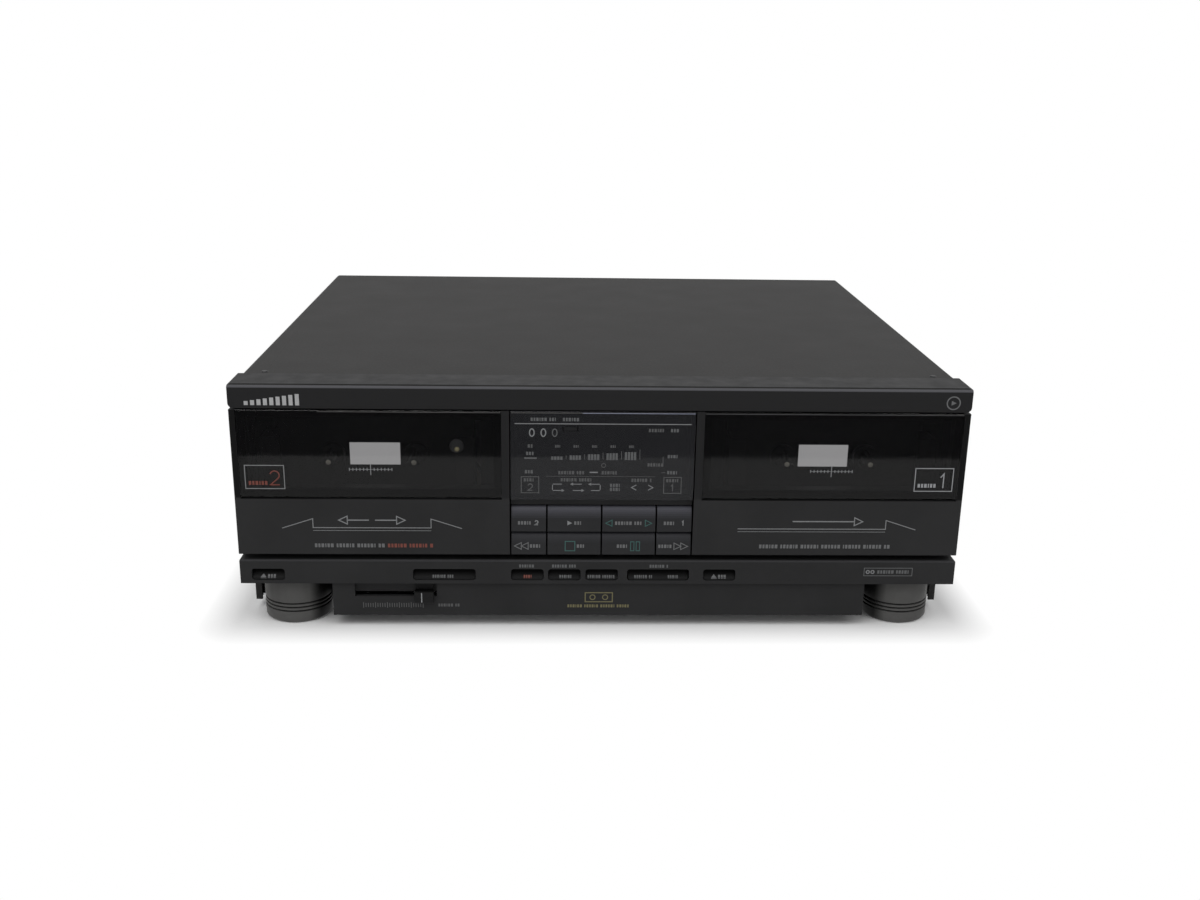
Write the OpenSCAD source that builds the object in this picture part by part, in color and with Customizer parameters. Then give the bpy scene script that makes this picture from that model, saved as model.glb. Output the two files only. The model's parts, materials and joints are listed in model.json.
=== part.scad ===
// Double cassette deck: a midi-width cabinet with two tilting cassette doors, a display
// and key block between them, a strip of push buttons and a level slider in the plinth.
// Millimetres. X runs to the right, Y to the back and Z up, from the shelf it stands on.

/* [Cabinet] */
// Height from the shelf to the top of the hood
body_h = 126; // [124:1:145]
// Depth from the front face to the rear edge of the cover
body_d = 310; // [290:1:350]
// Gap under the cabinet
under_gap = 5.8; // [5:0.1:10]
// Wall of the moulded front panel
wall_t = 2.5; // [2:0.1:3]
// Thickness of the sheet metal
sheet_t = 1.2; // [0.8:0.1:1.6]
// How far the cover's sides lie inside the front panel's sides
cover_inset = 1; // [1:0.1:4]

/* [Front panel] */
// Height of the hood over the doors
hood_h = 11.2; // [9:0.1:14]
// Depth of the front panel, front to back
panel_d = 24; // [23.6:0.1:27]
// Rounding of the hood's top front edge
hood_round = 1.4; // [0.6:0.1:2]
// Rounding of the hood's lower end corners
hood_corner = 2.4; // [1:0.1:4]
// Height of the button strip
strip_h = 12.8; // [12.5:0.1:15]
// Rounding of the strip's top edge
strip_round = 1.2; // [0.8:0.1:2]
// Rounding of the strip's upper end corners
strip_corner = 0.7; // [0.4:0.1:2.4]
// Height of the plinth under the strip
plinth_h = 18; // [16:0.1:20]
// How far the plinth lies behind the strip
plinth_setback = 1.5; // [0.5:0.1:3]
// Shadow gap between the strip and the doors
groove_h = 3.1; // [2:0.1:4]
// Gap between the plinth's ends and the feet
foot_plinth_gap = 3.9; // [3:0.1:10]

/* [Feet] */
// Diameter of a front foot
foot_d = 34; // [28:0.5:35]
// Foot centre from the side of the front panel
foot_inset = 24.2; // [20:0.1:26]
// Front of a foot behind the front face
foot_setback = 4; // [2:0.5:6]
// Height of the plain ring at a foot's base
foot_ring_h = 6; // [4:0.5:8]
// Width of a foot's groove
foot_groove_w = 0.9; // [0.6:0.1:1.4]
// Depth of a foot's groove
foot_groove_d = 1; // [0.5:0.1:2]
// Width of the band between two grooves
foot_band_w = 1.1; // [0.8:0.1:2]
// Grooves round a foot
foot_grooves = 3; // [1:1:4]
// Diameter of a rear foot
rear_foot_d = 30; // [20:0.5:36]

/* [Doors] */
// Width of the display between the doors
display_w = 90; // [88:0.5:96]
// Gap between two neighbouring pieces of the front
front_gap = 0.6; // [0.4:0.1:0.8]
// Room in a door between the cassette holder and the display
door_inner_room = 17.45; // [15:0.05:25]
// Room in a door between the cassette holder and the cabinet's side
door_outer_room = 12.65; // [11:0.05:25]
// Thickness of a door
door_t = 8; // [7.5:0.1:8.5]
// How far the doors stand in front of the hood
door_proud = 0.8; // [0:0.1:1.5]
// Height of the solid panel at the foot of a door
door_panel_h = 29.1; // [26:0.1:32]
// Width of a door's border between its window and the display
window_border = 3.8; // [3:0.1:6]
// Width of a door's border between its window and the cabinet's side
window_side_border = 2.8; // [2.5:0.1:6]
// Thickness of the windows
window_t = 2; // [1.5:0.1:2.4]
// Hinge axis above the foot of a door
hinge_up = 5.3; // [4.8:0.1:5.4]
// Hinge axis behind the front face
hinge_back = 5.5; // [5.3:0.1:5.8]
// Diameter of a hinge pin
hinge_pin_d = 2.4; // [2:0.1:2.8]

/* [Cassette well] */
// Width of a cassette
cassette_w = 100.4; // [100:0.1:101]
// Thickness of a cassette
cassette_t = 12.1; // [11.8:0.1:12.4]
// Free room round a cassette in its holder
cassette_clear = 0.6; // [0.4:0.1:0.8]
// Floor of the holder above the foot of its door
holder_floor_up = 8.8; // [8:0.1:10]
// Height of the holder's side channels
channel_h = 50; // [40:1:55]
// Sheet of the holder
holder_t = 1.2; // [1:0.1:1.4]
// Distance between the two reel spindles
spindle_pitch = 42.5; // [42:0.1:43]
// Spindle axis above the holder's floor
spindle_up = 34.3; // [33:0.1:35]
// Front face of the transport frame behind the front face
transport_y = 30; // [29.6:0.1:33]
// Distance from the middle of the cassette to a capstan
capstan_x = 33.5; // [32:0.1:34.5]
// Capstan axis above the holder's floor
capstan_up = 9; // [8.6:0.1:10]
// Diameter of a capstan
capstan_d = 2.4; // [2:0.1:3]
// Diameter of a pinch roller
pinch_d = 13; // [11:0.1:13.6]
// Lift of the head bridge
bridge_lift = 8.7; // [7:0.1:8.7]

/* [Drive] */
// Diameter of a flywheel
flywheel_d = 46; // [40:0.5:50]
// Width of a flywheel's rim
flywheel_w = 8; // [6:0.5:9]
// Diameter of a motor pulley
pulley_d = 10; // [8:0.5:14]
// Diameter of a motor
motor_d = 30; // [26:0.5:34]
// Thickness of a belt
belt_t = 0.8; // [0.6:0.1:1.2]

/* [Controls] */
// Height of the upper row of keys
key_upper_h = 12.8; // [12.2:0.1:13.6]
// Height of the lower row of keys
key_lower_h = 11.5; // [11:0.1:12]
// Gap between two keys
key_gap = 0.8; // [0.5:0.1:1.2]
// Width of the two inner keys
key_wide_w = 26.4; // [25:0.1:27]
// How far a key's top edge leans back
key_lean = 3; // [1:0.1:4]
// Travel of the keys and buttons
press_travel = 1; // [0.6:0.1:1.2]
// Height of a push button's pocket
button_h = 6.2; // [5:0.1:7]
// Width of a short button's pocket
button_w = 16.4; // [14:0.1:17]
// Width of a long button's pocket
button_long_w = 31.4; // [28:0.1:33]
// Corner rounding of the button pockets
button_round = 1.5; // [0.8:0.1:2]
// Sliding clearance round keys, buttons and the slider
slide_clear = 0.3; // [0.2:0.05:0.4]
// Length of the slider's slot
slot_l = 41.2; // [34:0.1:48]
// Height of the slider's slot
slot_h = 7; // [6:0.1:7.4]
// Width of the slider's knob
knob_w = 9.6; // [8:0.1:12]
// How far the knob stands in front of the plinth
knob_proud = 3; // [2:0.1:5]

/* [Rear] */
// Outside diameter of a phono socket
phono_d = 8.3; // [8.2:0.01:8.4]
// Length of a phono socket outside its plate
phono_l = 9; // [8:0.1:10]
// Distance between phono sockets
phono_pitch = 14; // [13:0.5:18]

/* [Hidden] */
$fn = 48;
eps = 0.01;

// Heights of the front's rows, from the shelf up
strip_z = under_gap + plinth_h;
strip_top = strip_z + strip_h;
door_z = strip_top + groove_h;
hood_z = body_h - hood_h;
door_top = hood_z - front_gap;
window_z = door_z + door_panel_h + front_gap + 0.6;

// Depths behind the front face
front_y = -door_proud;
door_back = front_y + door_t;
well_y = door_back + 2.8;
well_t = 2;
holder_y = door_back;
pocket_front = holder_y + holder_t;
pocket_back = pocket_front + cassette_t + 2 * cassette_clear;
rear_y = body_d - 3;
plinth_y = plinth_setback;
knob_y = plinth_y - knob_proud;

// Widths of the front's columns: a door is as wide as its holder and the room beside it
door_reveal = 0.3;
holder_half_w = cassette_w / 2 + cassette_clear + holder_t;
door_x0 = display_w / 2 + front_gap;
deck_x = door_x0 + door_inner_room + holder_half_w;
door_x1 = deck_x + holder_half_w + door_outer_room;
side_x = door_x1 + door_reveal;
cover_x = side_x - cover_inset;
tray_gap = 0.2;
tray_x = cover_x - sheet_t - tray_gap;
foot_x = side_x - foot_inset;
foot_y = foot_setback + foot_d / 2;
plinth_x = foot_x - foot_d / 2 - foot_plinth_gap;

// Axes of the transport
hinge_y = hinge_back;
hinge_z = door_z + hinge_up;
floor_z = door_z + holder_floor_up;
spindle_z = floor_z + spindle_up;
capstan_z = floor_z + capstan_up;
frame_t = 1.5;
frame_back = transport_y + frame_t;

// The part's box is centred on the origin, front to back
phono_end = rear_y + sheet_t + 2 + phono_l;
front_most = min(front_y, knob_y);
shift_y = -(front_most + phono_end) / 2;

// Shared shapes

// A box between two opposite corners
module box(low, high) {
    translate(low) cube(high - low);
}

// A flat YZ outline drawn out along X
module along_x(x0, x1) {
    translate([x0, 0, 0]) rotate([90, 0, 90]) linear_extrude(x1 - x0) children();
}

// A flat XZ outline drawn out along Y
module along_y(y0, y1) {
    translate([0, y1, 0]) rotate([90, 0, 0]) linear_extrude(y1 - y0) children();
}

// A round bar along X
module rod_x(y, z, x0, x1, r) {
    translate([x0, y, z]) rotate([0, 90, 0]) cylinder(r = r, h = x1 - x0);
}

// A round bar along Y
module rod_y(x, z, y0, y1, r) {
    translate([x, y1, z]) rotate([90, 0, 0]) cylinder(r = r, h = y1 - y0);
}

// A flat rectangle with round corners
module round_rect(low, high, r) {
    translate([low.x + r, low.y]) square([high.x - low.x - 2 * r, high.y - low.y]);
    translate([low.x, low.y + r]) square([high.x - low.x, high.y - low.y - 2 * r]);
    for (x = [low.x + r, high.x - r], y = [low.y + r, high.y - r])
        translate([x, y]) circle(r);
}

// Points of an arc
function arc(c, r, a0, a1, n = 8) =
    [for (i = [0:n]) c + r * [cos(a0 + (a1 - a0) * i / n), sin(a0 + (a1 - a0) * i / n)]];

// Puts a right-hand deck on its own side: 1 is deck A, -1 is deck B
module on_side(side) {
    if (side < 0) mirror([1, 0, 0]) children();
    else children();
}

// The whole part sits with its box centred on the origin
module placed() {
    translate([0, shift_y, 0]) children();
}

// Cabinet

// Outline of the hood: front wall, rounded edge and top
module hood_outline() {
    polygon(concat(
        [[wall_t, hood_z], [0, hood_z]],
        arc([hood_round, body_h - hood_round], hood_round, 180, 90),
        [[panel_d, body_h], [panel_d, body_h - wall_t], [wall_t, body_h - wall_t]]));
}

strip_floor_t = 1.2;
strip_ledge_t = 2;

// Outline of the button strip: front wall, rounded edge and ledge under the doors
module strip_outline() {
    polygon(concat([[0, strip_z]],
        arc([strip_round, strip_top - strip_round], strip_round, 180, 90),
        [[well_y + well_t, strip_top], [well_y + well_t, strip_top - strip_ledge_t],
        [wall_t, strip_top - strip_ledge_t], [wall_t, strip_z]]));
}

// Takes the corner off the right-hand end of a bar whose edge is at height z; up is 1 for
// its upper corner and -1 for its lower one
module end_corner(z, r, up) {
    polygon(concat([[side_x + 1, z + up], [side_x + 1, z - up * r]],
        arc([side_x - r, z - up * r], r, 0, up * 90), [[side_x - r, z + up]]));
}

button_z = strip_z + 1.7;
eject_inset = 5.7;
record_x = -45.1;
mode_x = -26.5;
synchro_x = -7.7;
dubbing_x = 13.3;
eject_a_x = 51.8;
noise_x = -94.2;
eject_b_x = -side_x + eject_inset;

// Left edge and width of each pocket in the strip
pockets = [[eject_b_x, button_w], [noise_x, button_long_w], [record_x, button_w],
    [mode_x, button_w], [synchro_x, button_w], [dubbing_x, button_long_w],
    [eject_a_x, button_w]];

// Places of the control board's posts along the strip
board_posts = [eject_b_x + button_w + 20, record_x - 9];
board_post_r = 2.5;

slot_inset = 11.1;
slot_x0 = -plinth_x + slot_inset;
slot_z0 = strip_z - 0.7 - slot_h;
slot_wall_t = 1;

key_z0 = door_z;
key_row_z = key_z0 + key_lower_h + key_gap;
key_top = key_row_z + key_upper_h;
// Middle heights of the two rows of keys
key_middles = [key_z0 + key_lower_h / 2, key_row_z + key_upper_h / 2];
key_half_w = display_w / 2 - 0.2;
key_side_w = key_half_w - key_gap * 1.5 - key_wide_w;
// Left edge and width of each key in a row
key_columns = [[-key_half_w, key_side_w],
    [-key_gap / 2 - key_wide_w, key_wide_w],
    [key_gap / 2, key_wide_w],
    [key_half_w - key_side_w, key_side_w]];
stem_w = 8;
stem_h = 6;

display_wall = 2;
display_z0 = door_z + door_panel_h + front_gap / 2;
sill_y = 2.5;
well_room = 3;
well_half_w = holder_half_w + well_room;

ear_w = 4;
ear_r = 2.6;
ear_neck = 1.6;
// Lower edge of the wells, under the holder's floor and over the ears
well_z0 = floor_z - holder_t - 0.6;
rib_t = 2;
// Gap between an ear and the ribs beside it
ear_gap = 1.2;
// Left edges of the two hinge ears of a door
ear_in_x = door_x0 + rib_t + ear_gap;
ear_out_x = door_x1 - rib_t - ear_gap - ear_w;

module hinge_ears() {
    for (x = [ear_in_x, ear_out_x]) difference() {
        union() {
            rod_x(hinge_y, hinge_z, x, x + ear_w, ear_r);
            box([x, hinge_y, hinge_z - ear_r], [x + ear_w, well_y + eps, hinge_z + ear_neck]);
        }
        rod_x(hinge_y, hinge_z, x - 1, x + ear_w + 1, hinge_pin_d / 2);
    }
}

// Plate behind the doors and keys, with the wells, display and key stems cut out
module well_plate() {
    difference() {
        box([-side_x + wall_t - eps, well_y, strip_top - 1],
            [side_x - wall_t + eps, well_y + well_t, hood_z]);
        for (s = [-1, 1])
            on_side(s) box([deck_x - well_half_w, well_y - 1, well_z0],
                [deck_x + well_half_w, well_y + well_t + 1, hood_z + 1]);
        box([-display_w / 2 + display_wall + 1, well_y - 1, display_z0 + display_wall + 1],
            [display_w / 2 - display_wall - 1, well_y + well_t + 1, door_top - display_wall - 1]);
        for (c = key_columns, z = key_middles)
            translate([c[0] + c[1] / 2, 0, z])
                box([-stem_w / 2 - slide_clear, well_y - 1, -stem_h / 2 - slide_clear],
                    [stem_w / 2 + slide_clear, well_y + well_t + 1, stem_h / 2 + slide_clear]);
    }
}

// Tube that carries the display window, and the sill over the keys
module display_bay() {
    difference() {
        box([-display_w / 2, front_y + window_t, display_z0], [display_w / 2, well_y + eps, door_top]);
        box([-display_w / 2 + display_wall, front_y, display_z0 + display_wall],
            [display_w / 2 - display_wall, well_y + 1, door_top - display_wall]);
    }
    box([-display_w / 2, sill_y, key_top + front_gap], [display_w / 2, well_y + eps, display_z0 + eps]);
}

// Front panel moulding
module front_panel() {
    color([0.14, 0.14, 0.14])
    difference() {
        union() {
            along_x(-side_x, side_x) hood_outline();
            along_x(-side_x, side_x) strip_outline();
            well_plate();
            display_bay();
            for (s = [-1, 1]) on_side(s) {
                // End of the hood, side wall behind the door, end of the strip
                box([side_x - wall_t, eps, hood_z], [side_x, panel_d, body_h - hood_round]);
                box([side_x - wall_t, well_y, strip_z], [side_x, panel_d, hood_z + eps]);
                box([side_x - wall_t, eps, strip_z], [side_x, panel_d, strip_top - strip_round]);
                // Floor of the strip over the foot
                box([plinth_x - wall_t, eps, strip_z], [side_x, panel_d, strip_z + strip_floor_t]);
                // Return of the plinth beside the foot
                box([plinth_x - wall_t, plinth_y, under_gap], [plinth_x, panel_d, strip_z + eps]);
                hinge_ears();
            }
            // Posts that the control board is screwed to
            for (x = [-1, 1])
                rod_y(x * (key_gap + key_wide_w), key_row_z - key_gap / 2,
                    well_y + well_t - eps, board_y, board_post_r);
            for (x = board_posts) rod_y(x, button_z + button_h / 2, wall_t - eps, board_y, board_post_r);
            // Plinth, with its floor
            box([-plinth_x, plinth_y, under_gap], [plinth_x, panel_d, under_gap + 2]);
            box([-plinth_x, plinth_y, under_gap], [plinth_x, plinth_y + wall_t, strip_z + strip_floor_t]);
            box([-plinth_x, 0, strip_z], [plinth_x, plinth_y + wall_t, strip_z + strip_floor_t]);
            // Wall behind the upper part of the slot, over the slit for the slider's neck
            box([slot_x0 - slot_wall_t, plinth_y + wall_t - eps, neck_z1 + slide_clear],
                [slot_x0 + slot_l + slot_wall_t, plinth_y + wall_t + slot_wall_t,
                slot_z0 + slot_h + slot_wall_t]);
        }
        for (p = pockets)
            along_y(-1, wall_t + plinth_y + 1)
                round_rect([p[0], button_z], [p[0] + p[1], button_z + button_h], button_round);
        box([slot_x0, plinth_y - 1, slot_z0], [slot_x0 + slot_l, plinth_y + wall_t, slot_z0 + slot_h]);
        for (s = [-1, 1]) on_side(s) {
            along_y(-1, well_y) end_corner(hood_z, hood_corner, -1);
            along_y(-1, well_y) end_corner(strip_top, strip_corner, 1);
        }
    }
}

cover_gap = 0.3;
// How far the cover's sides reach below the base
cover_lip = 1.6;
cover_foot = under_gap - cover_lip;
cover_drop = 0.4;
cover_bend = 2.4;

// Width of the flange folded in at the front of the cover's sides
cover_return = 3.3;

// Sheet-metal cover: top and two sides folded from one sheet, with a flange at the front
module top_cover() {
    top = body_h - cover_drop;
    inner = cover_bend - sheet_t;
    color([0.2, 0.2, 0.2])
    difference() {
        union() {
            for (s = [-1, 1]) on_side(s)
                box([cover_x - cover_return, panel_d + cover_gap, cover_foot],
                    [cover_x - sheet_t + eps, panel_d + cover_gap + sheet_t, top - cover_bend]);
            along_y(panel_d + cover_gap, body_d) polygon(concat(
                [[cover_x, cover_foot]],
                arc([cover_x - cover_bend, top - cover_bend], cover_bend, 0, 90, 6),
                arc([-cover_x + cover_bend, top - cover_bend], cover_bend, 90, 180, 6),
                [[-cover_x, cover_foot], [-cover_x + sheet_t, cover_foot]],
                arc([-cover_x + cover_bend, top - cover_bend], inner, 180, 90, 6),
                arc([cover_x - cover_bend, top - cover_bend], inner, 90, 0, 6),
                [[cover_x - sheet_t, cover_foot]]));
        }
        for (p = side_screws, s = [-1, 1]) on_side(s)
            rod_x(p[0], p[1], cover_x - 5, cover_x + 5, screw_d / 2);
        for (s = [-1, 1])
            translate([s * rivet_x, rivet_y, top - 5]) cylinder(d = rivet_d, h = 10);
    }
}

screw_d = 3;
screw_head_d = 6;
screw_head_h = 1.8;
screw_l = 8;
side_screw_z = body_h / 2 + 12;
// Depth and height of the cover's side screws
side_screws = [[panel_d + 45, side_screw_z], [body_d - 40, side_screw_z]];
rivet_d = 2;
rivet_head_d = 3.6;
rivet_head_h = 0.5;
rivet_l = 6;
rivet_inset = 12;
rivet_x = side_x - rivet_inset;
rivet_y = panel_d + 4.5;
// Place of the rear panel's screws
rear_screws = [for (x = [-tray_x + 12, tray_x - 12]) [x, body_h - 18]];

// A pan-head screw along +Z with the underside of its head at 0
module screw() {
    slot_w = 1;
    difference() {
        union() {
            translate([0, 0, -screw_l]) cylinder(d = screw_d - 0.1, h = screw_l + eps);
            cylinder(d1 = screw_head_d, d2 = screw_head_d - 1.6, h = screw_head_h);
        }
        for (a = [0, 90]) rotate([0, 0, a])
            translate([-screw_head_d / 4, -slot_w / 2, screw_head_h / 2])
                cube([screw_head_d / 2, slot_w, screw_head_h]);
    }
}

// Screws of the cover and the rear panel, and the rivets at the cover's front edge
module case_screws() {
    color([0.12, 0.12, 0.12]) {
        for (p = side_screws) {
            translate([cover_x, p[0], p[1]]) rotate([0, 90, 0]) screw();
            translate([-cover_x, p[0], p[1]]) rotate([0, -90, 0]) screw();
        }
        for (s = [-1, 1]) translate([s * rivet_x, rivet_y, body_h - cover_drop]) {
            translate([0, 0, -rivet_l]) cylinder(d = rivet_d - 0.1, h = rivet_l + eps);
            cylinder(d1 = rivet_head_d, d2 = rivet_head_d - 1, h = rivet_head_h);
        }
        for (p = rear_screws)
            translate([p[0], rear_y + sheet_t, p[1]]) rotate([-90, 0, 0]) screw();
    }
}

flange_h = 14;
tray_front = panel_d + cover_gap + sheet_t + tray_gap;
rivet_tab = 3;
vent_l = 40;
vent_w = 3;
vent_count = 9;
vent_pitch = 7;
vent_ahead = 90;
rear_foot_y = body_d - 36;

// Folded base tray with side flanges, screw tabs and cooling slots
module chassis_base() {
    tab_w = 14;
    color([0.62, 0.63, 0.64])
    difference() {
        union() {
            box([-tray_x, tray_front, under_gap], [tray_x, rear_y, under_gap + sheet_t]);
            for (s = [-1, 1]) on_side(s) {
                box([tray_x - sheet_t, tray_front, under_gap], [tray_x, rear_y, under_gap + flange_h]);
                // Tabs that take the cover's side screws
                for (p = side_screws)
                    box([tray_x - sheet_t, p[0] - tab_w / 2, under_gap],
                        [tray_x, p[0] + tab_w / 2, p[1] + tab_w / 2]);
                // Tab behind the rear panel's screw
                box([tray_x - 12 - tab_w / 2, rear_y - sheet_t, under_gap],
                    [tray_x - 12 + tab_w / 2, rear_y, body_h - 18 + tab_w / 2]);
                // Tab under the cover's rivet
                box([tray_x - sheet_t, tray_front, under_gap], [tray_x, rivet_y + rivet_tab, body_h - 4]);
                box([rivet_x - rivet_tab, tray_front, body_h - 4 - sheet_t],
                    [tray_x, rivet_y + rivet_tab, body_h - 4]);
            }
            box([-tray_x, rear_y - sheet_t, under_gap], [tray_x, rear_y, under_gap + flange_h]);
        }
        for (s = [-1, 1]) on_side(s) {
            translate([foot_x, foot_y, under_gap - 1]) cylinder(r = foot_d / 2 + 1, h = flange_h);
            for (p = side_screws) rod_x(p[0], p[1], tray_x - 5, tray_x + 5, screw_d / 2);
            translate([rivet_x, rivet_y, body_h - 10]) cylinder(d = rivet_d, h = 10);
        }
        for (p = rear_screws) rod_y(p[0], p[1], rear_y - 5, rear_y + 5, screw_d / 2);
        for (i = [0:vent_count - 1])
            translate([transformer_x, transformer_y - vent_ahead + i * vent_pitch, under_gap])
                box([-vent_l / 2, 0, -1], [vent_l / 2, vent_w, sheet_t + 1]);
        translate([foot_x, rear_foot_y, under_gap - 1]) cylinder(d = screw_d, h = 5);
        translate([-foot_x, rear_foot_y, under_gap - 1]) cylinder(d = screw_d, h = 5);
    }
}

phono_inset = 62;
phono_rise = 38;
inlet_inset = 60;
inlet_rise = 32;
phono_x = side_x - phono_inset;
phono_z = under_gap + phono_rise;
inlet_x = -side_x + inlet_inset;
inlet_z = under_gap + inlet_rise;
// Places of the four phono sockets
phono_places = [for (x = [-0.5, 0.5], z = [-0.5, 0.5])
    [phono_x + x * phono_pitch, phono_z + z * phono_pitch]];
inlet_w = 20;
inlet_h = 12;

// Rear panel with the cut-outs for the sockets
module rear_panel() {
    color([0.13, 0.13, 0.13])
    difference() {
        box([-tray_x, rear_y, under_gap],
            [tray_x, rear_y + sheet_t, body_h - cover_drop - cover_bend + 0.2]);
        for (p = rear_screws) rod_y(p[0], p[1], rear_y - 5, rear_y + 5, screw_d / 2);
        for (p = phono_places) rod_y(p[0], p[1], rear_y - 5, rear_y + 5, phono_d / 2 + 0.8);
        along_y(rear_y - 5, rear_y + 5)
            round_rect([inlet_x - inlet_w / 2 - 0.3, inlet_z - inlet_h / 2 - 0.3],
                [inlet_x + inlet_w / 2 + 0.3, inlet_z + inlet_h / 2 + 0.3], 1.5);
    }
}

// Outline of a front foot: ring, grooves and bands, plain drum
module foot_outline() {
    r = foot_d / 2;
    edge = 1.5;
    step = foot_groove_w + foot_band_w;
    grooves = [for (i = [0:foot_grooves - 1]) let (z = foot_ring_h + i * step)
        [[r, z], [r - foot_groove_d, z], [r - foot_groove_d, z + foot_groove_w], [r, z + foot_groove_w]]];
    polygon(concat(
        [[0, 0], [r - edge, 0]], arc([r - edge, edge], edge, -90, 0, 5),
        [for (g = grooves, p = g) p],
        [[r, strip_z], [0, strip_z]]));
}

// Outline of a rear foot
module rear_foot_outline() {
    r = rear_foot_d / 2;
    edge = 1;
    polygon(concat([[0, 0], [r - edge, 0]], arc([r - edge, edge], edge, -90, 0, 5),
        [[r, under_gap], [0, under_gap]]));
}

// Two ringed drums under the strip and two low feet at the back
module feet() {
    color([0.27, 0.27, 0.27])
    for (s = [-1, 1]) {
        translate([s * foot_x, foot_y, 0]) rotate_extrude() foot_outline();
        translate([s * foot_x, rear_foot_y, 0]) rotate_extrude() rear_foot_outline();
    }
}

// Doors

pin_clear = 0.05;
door_edge = 0.5;
door_skin = 2.5;
window_ledge = 4;

// Moulded door: window frame above, hollow panel below
module door() {
    ledge_y = front_y + window_t;
    jamb_z = door_z + door_panel_h - eps;
    difference() {
        union() {
            // Skin of the lower panel with its chamfered foot, and the shelf over it
            along_x(door_x0, door_x1) polygon([[front_y, door_z + door_edge],
                [front_y, door_z + door_panel_h], [door_back, door_z + door_panel_h],
                [door_back, door_z + door_panel_h - 2], [front_y + door_skin, door_z + door_panel_h - 2],
                [front_y + door_skin, door_z + 2], [front_y + 5, door_z + 2],
                [front_y + 5, door_z], [front_y + door_edge, door_z]]);
            // Neck between the panel and the window frame
            box([door_x0 + window_border, ledge_y, door_z + door_panel_h - 2],
                [door_x1 - window_side_border, door_back, window_z + window_ledge]);
            // Head of the window frame
            box([door_x0, ledge_y, door_top - window_ledge], [door_x1, door_back, door_top]);
            // Borders beside the window, and the ledges that it lies on
            box([door_x0, front_y, jamb_z], [door_x0 + window_border, door_back, door_top]);
            box([door_x0, ledge_y, jamb_z], [door_x0 + window_border + window_ledge, door_back, door_top]);
            box([door_x1 - window_side_border, front_y, jamb_z], [door_x1, door_back, door_top]);
            box([door_x1 - window_side_border - window_ledge, ledge_y, jamb_z],
                [door_x1, door_back, door_top]);
            // End walls and hinge ribs of the panel
            for (x = [door_x0, ear_in_x + ear_w + ear_gap, ear_out_x - ear_gap - rib_t, door_x1 - rib_t])
                along_x(x, x + rib_t) polygon([[front_y + door_edge, door_z], [front_y + door_edge, jamb_z],
                    [door_back, jamb_z], [door_back, door_z + 2.5], [door_back - 2.5, door_z]]);
        }
        for (x = [ear_in_x, ear_out_x])
            rod_x(hinge_y, hinge_z, x - ear_gap - rib_t / 2, x + ear_w + ear_gap + rib_t / 2,
                hinge_pin_d / 2 + pin_clear);
    }
}

module door_b() { color([0.13, 0.13, 0.13]) on_side(-1) door(); }
module door_a() { color([0.13, 0.13, 0.13]) on_side(1) door(); }

// Smoked window let into the door's frame
module door_window() {
    fit = 0.1;
    edge = 0.4;
    along_x(door_x0 + window_border + fit, door_x1 - window_side_border - fit)
        polygon([[front_y, window_z], [front_y, door_top - edge], [front_y + edge, door_top],
            [front_y + window_t, door_top], [front_y + window_t, window_z]]);
}

module door_window_b() { color([0.05, 0.05, 0.05, 0.6]) on_side(-1) door_window(); }
module door_window_a() { color([0.05, 0.05, 0.05, 0.6]) on_side(1) door_window(); }

channel_flange = 9;
channel_lip = 6;
apron_h = 14;

// Open-topped pocket on the back of a door
module cassette_holder() {
    inner = cassette_w / 2 + cassette_clear;
    outer = holder_half_w;
    ledge = capstan_x + pinch_d / 2 + 1.5;
    translate([deck_x, 0, 0]) {
        for (s = [-1, 1]) on_side(s) {
            box([inner, holder_y, floor_z - holder_t],
                [outer, pocket_back + holder_t, floor_z + channel_h]);
            box([outer - channel_flange, holder_y, floor_z - holder_t],
                [outer, pocket_front, floor_z + channel_h]);
            box([outer - channel_lip, pocket_back, floor_z - holder_t],
                [outer, pocket_back + holder_t, floor_z + channel_h]);
            box([ledge, holder_y, floor_z - holder_t], [outer, pocket_back + holder_t, floor_z]);
        }
        box([-outer, holder_y, floor_z - holder_t], [outer, pocket_front, floor_z + apron_h]);
    }
}

module cassette_holder_b() { color([0.1, 0.1, 0.1]) on_side(-1) cassette_holder(); }
module cassette_holder_a() { color([0.1, 0.1, 0.1]) on_side(1) cassette_holder(); }

// Steel pins through the ears, into the ribs of the doors
module hinge_pins() {
    reach = ear_gap + rib_t / 2 - 0.3;
    color([0.7, 0.7, 0.72])
    for (s = [-1, 1]) on_side(s)
        for (x = [ear_in_x, ear_out_x])
            rod_x(hinge_y, hinge_z, x - reach, x + ear_w + reach, hinge_pin_d / 2);
}

// Display and keys

reset_x = -15.9;
reset_w = 7.4;
reset_h = 2.6;
reset_z = door_top - 10;

// Window over the display, with the hole of the reset button
module display_window() {
    edge = 0.4;
    color([0.05, 0.05, 0.05, 0.6])
    difference() {
        along_x(-display_w / 2, display_w / 2)
            polygon([[front_y, display_z0], [front_y, door_top - edge], [front_y + edge, door_top],
                [front_y + window_t, door_top], [front_y + window_t, display_z0]]);
        box([reset_x - reset_w / 2, front_y - 1, reset_z],
            [reset_x + reset_w / 2, front_y + 5, reset_z + reset_h]);
    }
}

board_t = 1.6;
glass_t = 4.5;

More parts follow.
